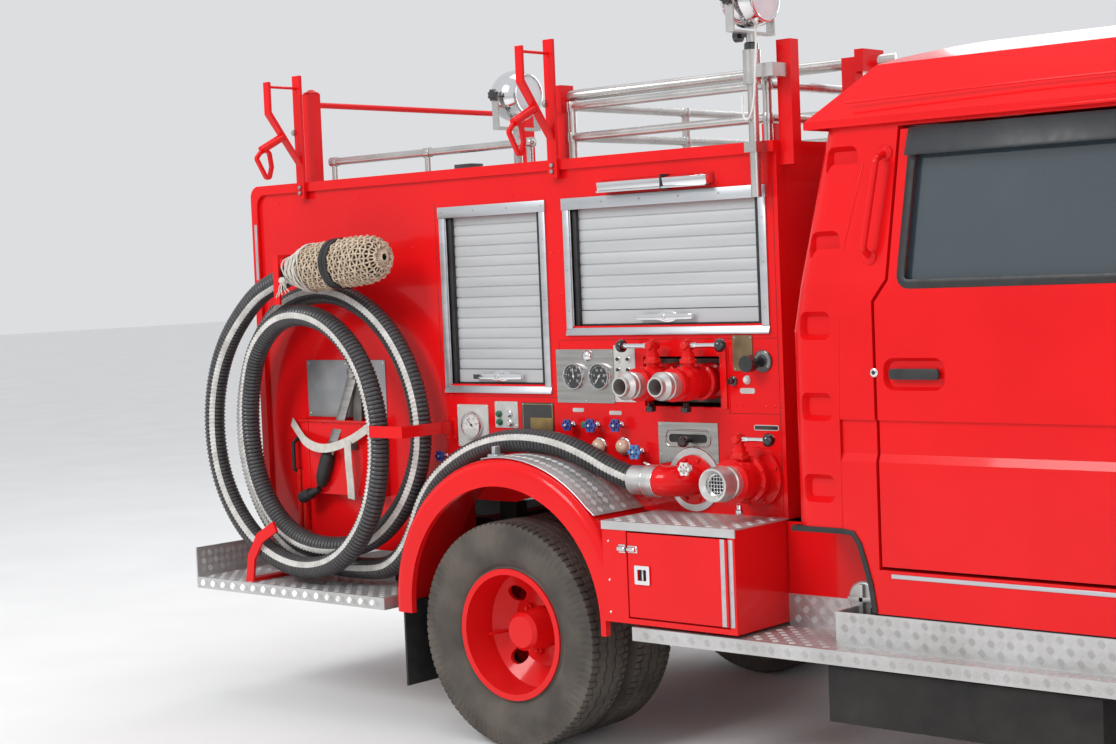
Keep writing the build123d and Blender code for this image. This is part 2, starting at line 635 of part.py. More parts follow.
def seats():
    """Front seats and the rear bench with their bases."""
    pieces = []
    for y in (-430.0, 430.0):
        base = ENGINE[4] + ENGINE_COVER + SEAM_GAP
        pieces.append(box(2450, 2900, y - 240, y + 240, base, base + 114))
        pieces.append(side_prism([(2450 - SEAM_GAP, base + 114), (2340, base + 634), (2250, base + 634), (2345, base),
                                  (2450 - SEAM_GAP, base)], y - 240, y + 240))
    bench = CAB_TAIL_Z + 50 + SEAM_GAP
    pieces.append(box(1290, 1760, -700, 700, bench, 1180))
    pieces.append(side_prism([(1180, 1180 + SEAM_GAP), (1290, 1180 + SEAM_GAP), (1330, 1700), (1235, 1700)],
                             -700, 700))
    return pieces


def dashboard():
    """Instrument board across the front of the cab, with the steering column."""
    board = side_prism([(3400, 1120), (3360, 1240), (3440, 1340), (3660, 1340), (3700, 1120)], -790, 790)
    lower = box(3560, 3700, -790, 790, FRONT_FLOOR_Z, 1120 - SEAM_GAP)
    column = bar(COLUMN_FOOT, COLUMN_HEAD, 26)
    return [board + column, lower]


COLUMN_FOOT = (3470.0, -400.0, 1200.0)
COLUMN_HEAD = (3290.0, -400.0, 1330.0)
STEER_R = 200.0


def steering_wheel():
    """Rim, three spokes and boss in the plane square to the column."""
    axis = (Vector(*COLUMN_HEAD) - Vector(*COLUMN_FOOT)).normalized()
    centre = Vector(*COLUMN_HEAD) + axis * 30
    plane = Plane(origin=centre, z_dir=axis)
    wheel = plane * Torus(STEER_R, 14)
    wheel += plane * Pos(0, 0, -15) * Cylinder(40, 29.4)
    for angle in (90, 210, 330):
        wheel += plane * Rot(0, 0, angle) * Pos(STEER_R / 2, 0, -6) * Box(STEER_R - 10, 24, 10)
    return wheel


def bumper():
    """Front bumper with rounded ends, bolted to the chassis rails."""
    plan = Pos(0, 0, 390) * RectangleRounded(BUMPER_FRONT - BUMPER_BACK, 2 * CAB_HALF, 40)
    beam = extrude(Pos((BUMPER_FRONT + BUMPER_BACK) / 2, 0, 0) * plan, 240)
    beam -= box(BUMPER_BACK - 1, BUMPER_FRONT - 12, -CAB_HALF + 50, CAB_HALF - 50, 402, 618)
    for y in (-RAIL_Y, RAIL_Y):
        beam += box(BUMPER_BACK, BUMPER_FRONT - 12, y - 28, y + 28, 520, 600)
    beam -= box(BUMPER_FRONT - 40, BUMPER_FRONT + 1, -300, 300, 450, 520)
    return beam


GRILLE = (430.0, 700.0, 880.0)


def grille():
    """Framed grille of cross bars on the front panel."""
    half, low, top = GRILLE
    x0, x1 = CAB_FRONT, CAB_FRONT + 14
    frame = box(x0, x1, -half, half, low, top) - box(x0 - 1, x1 + 1, -half + 14, half - 14, low + 12, top - 12)
    count = 5
    for i in range(count):
        z = low + 12 + (top - low - 24) * (i + 0.5) / count
        frame += box(x0, x1 - 3, -half + 10, half - 10, z - 7, z + 7)
    return frame


HEADLAMP = (510.0, 790.0, 690.0, 880.0)


def headlamps():
    """A headlamp each side of the grille with a turn lamp under it."""
    y0, y1, z0, z1 = HEADLAMP
    face = Plane(origin=(CAB_FRONT, -(y0 + y1) / 2, (z0 + z1) / 2), x_dir=(0, 1, 0), z_dir=(1, 0, 0))
    lamp = extrude(face * RectangleRounded(y1 - y0, z1 - z0, 36), 16)
    return both_sides([lamp])


def mirrors():
    """Door mirrors on bent arms from the front pillars."""
    arm = bar((3560, -840, 1180), (3600, -1010, 1180), 11) + bar((3600, -1010, 1170), (3600, -1010, 1700), 11)
    arm += bar((3560, -834, 1640), (3600, -1010, 1640), 11)
    plate = extrude(Pos(3592, -985, 1470) * Rot(0, 90, 0) * RectangleRounded(340, 190, 40), 18, both=True)
    return both_sides([(arm + plate) - cab_volume(0, outer_floor())])


def beacon_bar():
    """Warning lamp bar on two feet above the cab roof."""
    bar_solid = Pos(2900, 0, 2305) * extrude(Rot(90, 0, 0) * RectangleRounded(230, 130, 55), 560, both=True)
    for y in (-380, 380):
        bar_solid += box(2840, 2960, y - 40, y + 40, 2150, 2260)
    return bar_solid - roof_volume(0)


# Equipment body

SMALL_SHUTTER = (-458.0, 36.0, 1151.0, 1793.0)
LARGE_SHUTTER = (115.0, 928.0, 1345.0, 1793.0)
SHUTTER_FRAME = 30.0
SHUTTER_IN = 22.0
VALVE_OPENING = (430.0, 733.0, 1115.0, 1275.0)
BULKHEAD_X = 75.0
PUMP_SHELF_Z = 1318.0
WELL_R = 432.0
WELL_HALF = 440.0


def side_lip():
    """Channel lip that stands proud along the top and rear edge of the right side."""
    lip = side_prism([(BODY_REAR, BODY_TAIL_Z), (BODY_REAR, BODY_TOP), (BODY_FRONT, BODY_TOP),
                      (BODY_FRONT, BODY_TOP - LIP_W), (BODY_REAR + LIP_W, BODY_TOP - LIP_W),
                      (BODY_REAR + LIP_W, BODY_TAIL_Z)], -BODY_HALF, -BODY_HALF - LIP_T)
    corners = [e for e in lip.edges().filter_by(Axis.Y) if e.center().X < BODY_REAR + 100 and e.center().Z > 1800]
    return fillet(corners, CORNER_R - LIP_W / 2)


CORNER_R = 60.0


def equipment_body():
    """Hollow body behind the cab with its lockers, pump bay and wheel wells, in panels parted by thin seams."""
    side = [(BODY_REAR, BODY_TAIL_Z), (BODY_REAR, BODY_TOP), (BODY_FRONT, BODY_TOP), (BODY_FRONT, BODY_FLOOR),
            (STEP_FRONT, BODY_FLOOR), (STEP_FRONT, BODY_TAIL_Z)]
    outer = side_prism(side, -BODY_HALF, BODY_HALF)
    corner = [e for e in outer.edges().filter_by(Axis.Y) if e.center().Z > 1900 and e.center().X < 0]
    outer = fillet(corner, CORNER_R)
    body = outer - box(BODY_REAR - 1, STEP_FRONT + 1, -TAIL_INNER, TAIL_INNER, 500, BODY_FLOOR)
    y = BODY_HALF - BODY_WALL
    inner_floor_z = BODY_FLOOR + BODY_FLOOR_T
    body -= box(BODY_REAR + BODY_WALL, BULKHEAD_X - 12, -y, y, inner_floor_z, DECK_Z - 20)
    for sign in (-1, 1):
        body -= box(BODY_REAR + BODY_WALL, STEP_FRONT - BODY_WALL, sign * (TAIL_INNER + BODY_WALL), sign * y,
                    BODY_TAIL_Z + BODY_WALL, inner_floor_z + 1)
    body -= box(BULKHEAD_X + 12, BODY_FRONT - BODY_WALL, -y, y, PUMP_SHELF_Z + 12, DECK_Z - 20)
    body -= box(BULKHEAD_X + 12, BODY_FRONT - BODY_WALL, -y, y, inner_floor_z, PUMP_SHELF_Z - 12)
    body -= box(BODY_REAR + 30, BODY_FRONT - 30, -BODY_HALF + 30, BODY_HALF - 30, DECK_Z, BODY_TOP + 50)
    for lip in both_sides([side_lip()]):
        body += lip
    for x0, x1, z0, z1 in (SMALL_SHUTTER, LARGE_SHUTTER):
        body -= box(x0 + SHUTTER_FRAME, x1 - SHUTTER_FRAME, -900, 900, z0 + SHUTTER_FRAME, z1 - SHUTTER_FRAME)
    x0, x1, z0, z1 = VALVE_OPENING
    body -= box(x0, x1, -900, 900, z0, z1)
    for sign in (-1, 1):
        body -= rod_y(0, TYRE_R, WELL_R, sign * WELL_HALF, sign * 900)
    return body_seams(body)


def body_seams(body):
    """Thin seams that part the body into its side walls, end walls, bulkhead, shelf, floor, deck and tail boxes."""
    y = BODY_HALF - BODY_WALL
    inner_floor_z = BODY_FLOOR + BODY_FLOOR_T
    for sign in (-1, 1):
        body -= box(BODY_REAR - 1, BODY_FRONT + 1, sign * y, sign * (y + SEAM_GAP), BODY_TAIL_Z - 1, BODY_TOP + 1)
        tail = TAIL_INNER + BODY_WALL
        body -= box(BODY_REAR - 1, STEP_FRONT + 1, sign * tail, sign * (tail + SEAM_GAP), BODY_TAIL_Z - 1, BODY_FLOOR)
    for z in (BODY_FLOOR, inner_floor_z, DECK_Z - 20 - SEAM_GAP, DECK_Z):
        body -= box(BODY_REAR - 1, BODY_FRONT + 1, -y, y, z, z + SEAM_GAP)
    for x in (BULKHEAD_X + 12, BODY_FRONT - BODY_WALL - SEAM_GAP):
        body -= box(x, x + SEAM_GAP, -y, y, PUMP_SHELF_Z - 20, PUMP_SHELF_Z + 20)
    return body


def deck_plate():
    """Chequered deck inside the raised edge of the body's top."""
    return box(BODY_REAR + 34, BODY_FRONT - 34, -BODY_HALF + 34, BODY_HALF - 34, DECK_Z, DECK_Z + 4)


def shutters():
    """Framed roller shutters: slats, frame and bar handle, on both sides."""
    pieces = []
    for x0, x1, z0, z1 in (SMALL_SHUTTER, LARGE_SHUTTER):
        out = -BODY_HALF
        frame = box(x0, x1, out - 6, out, z0, z1)
        hole = (x0 + SHUTTER_FRAME, x1 - SHUTTER_FRAME, z0 + SHUTTER_FRAME, z1 - SHUTTER_FRAME)
        frame -= box(hole[0], hole[1], out - 7, out + 1, hole[2], hole[3])
        curtain = curtain_solid(*hole)
        handle_z = z0 + SHUTTER_FRAME + 26
        middle = (x0 + x1) / 2
        grip = box(middle - 110, middle + 110, out - 6, out + 4, handle_z - 8, handle_z + 8)
        for x in (middle - 100, middle + 100):
            grip += box(x - 9, x + 9, out - 2, out + SHUTTER_IN, handle_z - 8, handle_z + 8)
        pieces += [frame, curtain + grip]
    return both_sides(pieces)


SLAT_PITCH = 36.0


def curtain_solid(x0, x1, z0, z1):
    """The shutter's curtain: shallow bowed slats one above the other."""
    count = max(1, round((z1 - z0) / SLAT_PITCH))
    pitch = (z1 - z0) / count
    outer = -BODY_HALF + SHUTTER_IN
    points = [(outer + 10, z0), (outer + 4, z0)]
    for i in range(count):
        z = z0 + i * pitch
        points += [(outer, z + 4), (outer, z + pitch - 4), (outer + 4, z + pitch)]
    points.append((outer + 10, z1))
    return front_prism(points, x0, x1)


# Pump panel: every plate, dial and valve is given on the right side and mirrored

PLATES = [(-1186, -764, 1054, 1264), (60, 307, 1123, 1299), (309, 397, 1128, 1312), (786, 860, 1230, 1340), (482, 718, 933, 1067),
          (-409, -262, 964, 1110), (-229, -123, 1033, 1123), (-104, 39, 1013, 1121)]

SUCTION_PLATE = 4


def panel_plates():
    """Thin plates screwed on the pump panel."""
    plates = [box(x0, x1, -BODY_HALF - PANEL_T, -BODY_HALF, z0, z1) for x0, x1, z0, z1 in PLATES]
    x0, x1, z0, z1 = PLATES[SUCTION_PLATE]
    slot = Pos((x0 + x1) / 2, -BODY_HALF, z1 - 50) * Rot(90, 0, 0) * SlotOverall(150, 26)
    plates[SUCTION_PLATE] -= extrude(slot, 40, both=True)
    plates[SUCTION_PLATE] -= rod_y(*SUCTION, RING_R + 1, -BODY_HALF - 20, -BODY_HALF + 20)
    return both_sides(plates)


GAUGES = [(142, 1211, 45, PANEL_T), (252, 1211, 45, PANEL_T), (-335, 1037, 45, PANEL_T), (897, 1260, 34, 0.0)]


def gauges():
    """Round dials with raised bezels."""
    dials = []
    for x, z, radius, base in GAUGES:
        y = BODY_HALF + base
        dials.append(turned([(y, 0), (y, radius), (y + 12, radius), (y + 16, radius - 4), (y + 12, radius - 8),
                             (y + 12, 0)], x, z))
    return both_sides(dials)


HAND_WHEELS = [(121, 1054, 20), (229, 1054, 20), (331, 1054, 20), (410, 968, 24), (-469, 930, 18)]


def hand_wheels():
    """Small lobed hand wheels on stems."""
    wheels = []
    for x, z, radius in HAND_WHEELS:
        y = -BODY_HALF
        wheel = rod_y(x, z, 6, y, y - 46) + rod_y(x, z, radius - 5, y - 34, y - 46)
        for i in range(6):
            angle = i * pi / 3
            wheel += rod_y(x + cos(angle) * (radius - 6), z + sin(angle) * (radius - 6), 6, y - 34, y - 46)
        wheels.append(wheel)
    return both_sides(wheels)


SIGHT_GLASSES = [(234, 983), (336, 983)]


def sight_glasses():
    """Half-round glass bowls on collars."""
    bowls = []
    for x, z in SIGHT_GLASSES:
        y = BODY_HALF
        bowls.append(turned([(y, 0), (y, 22), (y + 14, 22), (y + 26, 18), (y + 34, 10), (y + 36, 0)], x, z))
    return both_sides(bowls)


OUTLETS = [(515.0, 1195.0, -1), (655.0, 1195.0, 1)]
OUTLET_BASE = BODY_HALF - 67
OUTLET_SEAT = BODY_HALF + 143
OUTLET_BORE = 25.0
OUTLET_LEVER_Y = BODY_HALF + 59
LEVER_RISE = 117.0
INLET = (865.0, 905.0)
INLET_SEAT = BODY_HALF + 149
INLET_BORE = 33.0
INLET_LEVER_Y = BODY_HALF + 95
INLET_LEVER_RISE = 125.0
BORE_STEP = 1.0
SUCTION = (620.0, 888.0)
RING_R = 100.0
SUCTION_HOSE_Y = BODY_HALF + 78
ELBOW_BEND = 78.0
SLEEVE_L = 105.0
SLEEVE_R = 46.5
COLLAR_R = 50.5
COLLAR_L = 42.0
PIPE_R = 49.0
# Columns: out from the valve's seat, radius. A flanged ball valve, larger end first
OUTLET_VALVE = [(-210, 0), (-210, 58), (-196, 58), (-192, 46), (-160, 46), (-150, 58), (-138, 58), (-134, 50),
                (-100, 50), (-84, 54), (-48, 54), (-32, 46), (-14, 46), (-12, 52), (0, 52), (0, 0)]
INLET_VALVE = [(-149, 0), (-149, 92), (-133, 92), (-127, 62), (-96, 62), (-92, 74), (-80, 74), (-76, 62), (-40, 64),
               (-14, 60), (-12, 68), (0, 68), (0, 0)]
# Columns: out from the valve's seat, radius. Base, grip ring, flare and lip of a coupling
OUTLET_COUPLING = [(0, 40), (22, 40), (24, 43), (34, 43), (36, 40), (42, 40), (46, 44), (58, 44), (72, 33), (85, 30)]
INLET_COUPLING = [(0, 50), (20, 50), (24, 46), (34, 46), (40, 55), (66, 53), (87, 50), (87, 44)]


def valve_body(x, z, seat, profile, bore, depth):
    """A turned valve body that points out of the panel, bored from its seat inwards."""
    body = turned([(seat + out, radius) for out, radius in profile], x, z)
    return body - rod_y(x, z, bore + BORE_STEP, -seat + depth, -seat - 1)


def lever_hub(x, z, y, top):
    """The stem housing on top of a valve."""
    return rod_z(x, -y, 20, z, top - 22) + rod_z(x, -y, 15, top - 24, top + 12)


def valve_bodies():
    """Red valve bodies: two outlets, the hydrant inlet and the suction elbow."""
    pieces = []
    for x, z, _ in OUTLETS:
        hub = lever_hub(x, z + 30, OUTLET_LEVER_Y, z + LEVER_RISE)
        pieces.append(valve_body(x, z, OUTLET_SEAT, OUTLET_VALVE, OUTLET_BORE, 160) + hub)
    x, z = INLET
    hub = lever_hub(x, z + 40, INLET_LEVER_Y, z + INLET_LEVER_RISE)
    pieces.append(valve_body(x, z, INLET_SEAT, INLET_VALVE, INLET_BORE, 86) + hub)
    x, z = SUCTION
    bend_y = SUCTION_HOSE_Y
    stub = rod_y(x, z, PIPE_R, -BODY_HALF, -(bend_y - ELBOW_BEND) - 1)
    path = ThreePointArc((x, -(bend_y - ELBOW_BEND), z),
                         (x - ELBOW_BEND * (1 - cos(pi / 4)), -(bend_y - ELBOW_BEND * (1 - sin(pi / 4))), z),
                         (x - ELBOW_BEND, -bend_y, z))
    elbow = sweep(Plane(origin=path @ 0, z_dir=path % 0) * Circle(PIPE_R), path=path)
    flange = rod_y(x, z, 78, -BODY_HALF, -BODY_HALF - 14)
    pieces.append(elbow + stub + flange)
    return both_sides(pieces)


def pump():
    """The fire pump as a plain block with a cross pipe to the outlet valves."""
    casing = box(360, 800, -PUMP_HALF, PUMP_HALF, BODY_FLOOR + BODY_FLOOR_T, 1180)
    return casing + box(440, 728, -OUTLET_BASE, OUTLET_BASE, 1126, 1264)


PUMP_HALF = 260.0


def coupling(x, z, seat, profile, bore):
    """A turned hose coupling with its grip ring and open mouth."""
    end = profile[-1][0]
    inner = [(end - (profile[-1][1] - bore), bore), (0, bore)] if profile[-1][1] > bore + 10 else [(end, bore), (0, bore)]
    return turned([(seat + out, radius) for out, radius in profile + inner], x, z)


def couplings():
    """Silver couplings on outlets and inlet, the steel ring and the suction hose's sleeve."""
    pieces = [coupling(x, z, OUTLET_SEAT, OUTLET_COUPLING, OUTLET_BORE) for x, z, _ in OUTLETS]
    pieces.append(coupling(*INLET, INLET_SEAT, INLET_COUPLING, INLET_BORE))
    x, z = SUCTION
    ring = rod_y(x, z, RING_R, -BODY_HALF, -BODY_HALF - 6) - rod_y(x, z, 78.3, -BODY_HALF + 1, -BODY_HALF - 7)
    pieces.append(ring)
    x_end = x - ELBOW_BEND
    sleeve = rod_x(-SUCTION_HOSE_Y, z, SLEEVE_R, x_end - SLEEVE_L, x_end)
    pieces.append(sleeve + rod_x(-SUCTION_HOSE_Y, z, COLLAR_R, x_end - COLLAR_L, x_end - 2))
    return both_sides(pieces)


def lever(x, y, z, way, length):
    """A lever rod with a ball knob at its end, turned in one piece; way is 1 forward, -1 rearward."""
    neck = length - sqrt(KNOB_R ** 2 - LEVER_R ** 2)
    outline = [Line((LEVER_FOOT, 0, 0), (LEVER_FOOT, 0, LEVER_R)), Line((LEVER_FOOT, 0, LEVER_R), (neck, 0, LEVER_R)),
               ThreePointArc((neck, 0, LEVER_R), (length, 0, KNOB_R), (length + KNOB_R, 0, 0)),
               Line((length + KNOB_R, 0, 0), (LEVER_FOOT, 0, 0))]
    turned_rod = revolve(make_face(outline), axis=Axis.X)
    return Pos(x, y, z) * Rot(0, 0, 0 if way > 0 else 180) * turned_rod


LEVER_R = 7.0
LEVER_FOOT = 15.0
KNOB_R = 19.0


def valve_levers():
    """Lever rods with ball knobs on the valves."""
    pieces = [lever(x, -OUTLET_LEVER_Y, z + LEVER_RISE, way, 138) for x, z, way in OUTLETS]
    pieces.append(lever(INLET[0], -INLET_LEVER_Y, INLET[1] + INLET_LEVER_RISE, 1, 112))
    return both_sides(pieces)


# Suction hose in two and a half turns beside the body, then over the fender to the inlet

COIL_X = -990.0
COIL_Z = 1003.0
HOSE_FRONT_Y = BODY_HALF + 205
HOSE_MIDDLE_Y = BODY_HALF + 154
HOSE_BACK_Y = BODY_HALF + 95
STRAINER_END = (-1000.0, 1592.0)
# Columns: angle round the coil, distance from its middle, distance from the truck's middle
COIL_LAY = [(104, 562, HOSE_FRONT_Y), (180, 518, HOSE_FRONT_Y), (270, 497, HOSE_FRONT_Y), (360, 398, HOSE_FRONT_Y),
            (450, 453, HOSE_FRONT_Y), (540, 365, HOSE_MIDDLE_Y), (630, 418, HOSE_MIDDLE_Y),
            (675, 464, HOSE_BACK_Y),
            (720, 507, HOSE_BACK_Y), (810, 530, HOSE_BACK_Y),
            (900, 460, HOSE_BACK_Y), (975, 496, HOSE_BACK_Y)]
COIL_STEP = 29.0
HOSE_TUCK = 12.0
# Where the hose lies from the coil over the fender to its sleeve: x, distance from the body's side, z
HOSE_RUN = [(-740, 95, 514), (-625, 95, 560), (-545, 97, 655), (-490, 100, 770), (-405, 103, 866),
            (-280, 103, 942), (-140, 103, 992), (5, 101, 1008), (145, 96, 996), (265, 87, 956), (355, 80, 912)]


def lay(angle):
    """Coil radius and depth at an angle, eased between the rows of COIL_LAY."""
    for before, after in zip(COIL_LAY, COIL_LAY[1:]):
        if angle <= after[0]:
            share = (angle - before[0]) / (after[0] - before[0])
            ease = (1 - cos(pi * share)) / 2
            return [a + (b - a) * ease for a, b in zip(before[1:], after[1:])]
    return COIL_LAY[-1][1:]


def hose_points():
    """Centre line of the hose from the strainer end to the inlet sleeve."""
    points = [(STRAINER_END[0] + HOSE_TUCK, -HOSE_FRONT_Y, STRAINER_END[1] + 2),
              (STRAINER_END[0] - 75, -HOSE_FRONT_Y, STRAINER_END[1] - 22)]
    turns = round((COIL_LAY[-1][0] - 116) / COIL_STEP)
    for i in range(turns + 1):
        angle = 116 + i * (COIL_LAY[-1][0] - 116) / turns
        radius, depth = lay(angle)
        points.append((COIL_X + radius * cos(radians(angle)), -depth, COIL_Z + radius * sin(radians(angle))))
    points += [(x, -BODY_HALF - out, z) for x, out, z in HOSE_RUN]
    x_end = SUCTION[0] - ELBOW_BEND - SLEEVE_L
    points.append((x_end + HOSE_TUCK, -SUCTION_HOSE_Y, SUCTION[1] - 2))
    return points


def suction_hose():
    """The hose as one round tube along straight runs joined by tangent arcs."""
    points = [Vector(*p) for p in hose_points()]
    radii = []
    for before, here, after in zip(points, points[1:], points[2:]):
        run = min((here - before).length, (after - here).length)
        half_turn = radians((here - before).get_angle(after - here) / 2)
        radii.append(0.45 * run / tan(half_turn))
    path = FilletPolyline(*points, radius=radii)
    tube = sweep(Plane(origin=path @ 0, z_dir=path % 0) * Circle(HOSE_R), path=path)
    print("least hose radius", round(min(radii)))
    print("hose length", round(path.length), "volume share", round(tube.volume / (path.length * pi * HOSE_R ** 2), 4))
    x_end = SUCTION[0] - ELBOW_BEND - SLEEVE_L
    return tube - strainer_basket() - box(x_end, x_end + 100, -900, -600, 800, 1000)


def strainer_basket():
    """Wicker basket over the strainer at the hose's free end."""
    face = make_face(Polyline([(0, 0), (0, 46), (40, 60), (90, 82), (250, 86), (400, 84), (450, 64), (470, 30),
                               (474, 0)], close=True))
    basket = revolve(face, axis=Axis.X)
    return Pos(STRAINER_END[0] + 2, -HOSE_FRONT_Y, STRAINER_END[1] + 6) * Rot(0, -4, 0) * basket


# Holders of the hose

def hose_brackets():
    """Clamps at the coil's top, bottom and front, and the shallow tray inside it, each on the body or the step."""
    face = -HOSE_FRONT_Y - HOSE_R - CLAMP_GAP
    side = -BODY_HALF
    top = box(-1055, -1025, face - CLAMP_T, side, 1642, 1656) + box(-1055, -1025, face - CLAMP_T, face, 1478, 1656)
    arm_x = COIL_X + ARM_REACH
    arm = box(arm_x, arm_x + 12, face - CLAMP_T, side, 1012, 1052)
    arm += box(arm_x - 150, arm_x + 12, face - CLAMP_T, face, 1012, 1052)
    arm += box(arm_x - 30, arm_x + 28, side - 6, side, 985, 1066)
    foot = box(-1290, -1250, face - CLAMP_T, side, BOARD_TOP, BOARD_TOP + 14)
    hook = side_prism([(-1290, BOARD_TOP), (-1250, BOARD_TOP), (-1236, 545), (-1190, 610), (-1106, 655), (-1124, 690),
                       (-1216, 642), (-1272, 560)], face, face - CLAMP_T)
    x0, x1, z0, z1 = TRAY
    tray_box = box(x0, x1, side - TRAY_DEEP, side, z0, z1)
    tray_box -= box(x0 + TRAY_WALL, x1 - TRAY_WALL, side - TRAY_DEEP + TRAY_WALL, side + 1, z0 + TRAY_WALL, z1 + 1)
    return both_sides([top, arm, foot + hook, tray_box])


CLAMP_GAP = 4.0
CLAMP_T = 10.0
ARM_REACH = 551.0
TRAY = (-1188.0, -768.0, 772.0, 1046.0)
TRAY_DEEP = 44.0
TRAY_WALL = 3.0


# Fenders, steps and boxes

def fender():
    """Right rear fender: arched ledge with a rounded outer flange."""
    arch = rod_y(FENDER_X, FENDER_Z, FENDER_OUT_R, -BODY_HALF, -OUTER_HALF)
    arch += box(FENDER_X - FENDER_OUT_R, FENDER_X + FENDER_OUT_R, -BODY_HALF, -OUTER_HALF, FENDER_FOOT_Z, FENDER_Z)
    arch -= box(-900, 900, -2000, 0, -200, FENDER_FOOT_Z)
    outer = [e for e in arch.edges() if abs(e.center().Y + OUTER_HALF) < 1 and e.center().Z > FENDER_FOOT_Z + 1]
    arch = fillet(outer, 36)
    inner_r = FENDER_OUT_R - FENDER_T
    hollow = rod_y(FENDER_X, FENDER_Z, inner_r, -BODY_HALF + 1, -OUTER_HALF + FENDER_T)
    hollow += box(FENDER_X - inner_r, FENDER_X + inner_r, -BODY_HALF + 1, -OUTER_HALF + FENDER_T, 300, FENDER_Z)
    opening = rod_y(FENDER_X, FENDER_Z, FENDER_IN_R, -BODY_HALF + 1, -OUTER_HALF - 1)
    opening += box(FENDER_X - FENDER_IN_R, FENDER_X + FENDER_IN_R, -BODY_HALF + 1, -OUTER_HALF - 1, 300, FENDER_Z)
    return arch - hollow - opening - box(BOX_REAR, 900, -2000, 0, 0, 2000)


SKIRT_FRONT = 1316.0
SKIRT_TOP = 776.0


def skirt():
    """Right red skirt over the kick plate, from the body to under the cab's tail."""
    return box(BODY_FRONT, SKIRT_FRONT, -BODY_HALF - 6, -BODY_HALF, KICK_TOP + SEAM_GAP, SKIRT_TOP)


LOCKER_DOOR = (560.0, 935.0, 492.0, 752.0)
LOCKER_DOOR_T = 18.0
LOCKER_GAP = 6.0


def step_box():
    """Right locker under the pump panel, open where its door sits."""
    outer = box(BOX_REAR, BOX_FRONT, -OUTER_HALF, -BODY_HALF, BOX_LOW, BOX_TOP)
    outer -= box(BOX_REAR + BOX_WALL, BOX_FRONT - BOX_WALL, -OUTER_HALF + BOX_WALL, -BODY_HALF - BOX_WALL,
                 BOX_LOW + BOX_WALL, BOX_TOP - BOX_WALL)
    x0, x1, z0, z1 = LOCKER_DOOR
    return outer - box(x0 - LOCKER_GAP, x1 + LOCKER_GAP, -OUTER_HALF - 1, -OUTER_HALF + BOX_WALL + 1,
                       z0 - LOCKER_GAP, z1 + LOCKER_GAP)


def locker_door():
    """Right locker door with its hinge barrel and latch plate."""
    x0, x1, z0, z1 = LOCKER_DOOR
    door = box(x0, x1, -OUTER_HALF, -OUTER_HALF + LOCKER_DOOR_T, z0, z1)
    door += rod_z(x1 + 1, -OUTER_HALF - 3, 5, z0, z1)
    door += box(588, 646, -OUTER_HALF - 4, -OUTER_HALF, 595, 653)
    return door - box(600, 634, -OUTER_HALF - 5, -OUTER_HALF + 4, 607, 641)


def tray(x0, x1, y0, y1):
    """A tread plate deck with turned-down edges."""
    deck = box(x0, x1, y0, y1, BOARD_LIP, BOARD_TOP)
    return deck - box(x0 + BOARD_T, x1 - BOARD_T, y0 + BOARD_T, y1 - BOARD_T, BOARD_LIP - 1, BOARD_TOP - BOARD_T)


def treads():
    """Running boards, kick plates, rear step and box tops in tread plate."""
    board = tray(565, BOARD_FRONT, -OUTER_HALF, -600)
    kick = box(1266, BOARD_FRONT, -CAB_HALF - 6, -CAB_HALF, BOARD_TOP, KICK_TOP)
    kick += box(1260, 1266, -CAB_HALF - 6, -BODY_HALF, BOARD_TOP, KICK_TOP)
    kick += box(BOX_FRONT, 1266, -BODY_HALF - 6, -BODY_HALF, BOARD_TOP, KICK_TOP)
    top = box(BOX_REAR, BOX_FRONT + 4, -OUTER_HALF - 4, -BODY_HALF, BOX_TOP, BOX_TOP + 4)
    top += box(BOX_REAR, BOX_FRONT + 4, -OUTER_HALF - 4, -OUTER_HALF, BOX_TOP - 22, BOX_TOP + 4)
    side_step = tray(REAR_STEP_END, STEP_FRONT, -OUTER_HALF, -430)
    rear = box(REAR_STEP_END, REAR_STEP_END + BOARD_T, -OUTER_HALF, -430, BOARD_TOP, BODY_TAIL_Z)
    return both_sides([board + kick, top, side_step + rear]) + [tray(REAR_STEP_END, -1408, -430, 430)]


def mud_flaps():
    """Rubber flaps behind the rear wheels."""
    x = FENDER_X - FENDER_OUT_R + FENDER_T
    return both_sides([box(x, x + 8, -OUTER_HALF + FENDER_T + 2, -470, 160, FENDER_Z)])


def tail_lamps():
    """Lamp clusters on the back of the body."""
    lamps = []
    for z0, z1 in ((640, 740), (750, 850)):
        lamps.append(box(BODY_REAR - 24, BODY_REAR, -640, -520, z0, z1))
    return both_sides(lamps)


# Roof gear

RAIL_R = 14.0
LOW_RAIL = (-1060.0, -70.0, -BODY_HALF + 63, 1995.0)
GUARD_REAR = 132.0
GUARD_FRONT = 915.0
GUARD_Y = BODY_HALF - 45
GUARD_Z = (1995.0, 2096.0)


def roof_rails():
    """Stainless hand rails on stanchions, the four sides of the front guard rail and the long pole."""
    x0, x1, y, z = LOW_RAIL
    low = rod_x(y, z, RAIL_R, x0, x1)
    for x in (x0 + 8, (x0 + x1) / 2, x1 - 8):
        low += rod_z(x, y, 11, DECK_Z + 4, z)
    side = None
    for z in GUARD_Z:
        run = rod_x(-GUARD_Y, z, RAIL_R, GUARD_REAR, GUARD_FRONT)
        side = run if side is None else side + run
    for x in (GUARD_REAR, GUARD_FRONT):
        side += rod_z(x, -GUARD_Y, RAIL_R, DECK_Z + 4, GUARD_Z[1] + RAIL_R)
    end = GUARD_Y - RAIL_R - SEAM_GAP
    ends = []
    for x in (GUARD_REAR, GUARD_FRONT):
        frame = rod_z(x, 0, RAIL_R, DECK_Z + 4, GUARD_Z[1])
        for z in GUARD_Z:
            frame += rod_y(x, z, RAIL_R, -end, end)
        ends.append(frame)
    return [low, mirrored(low), side, mirrored(side), bar(*POLE, POLE_R)] + ends


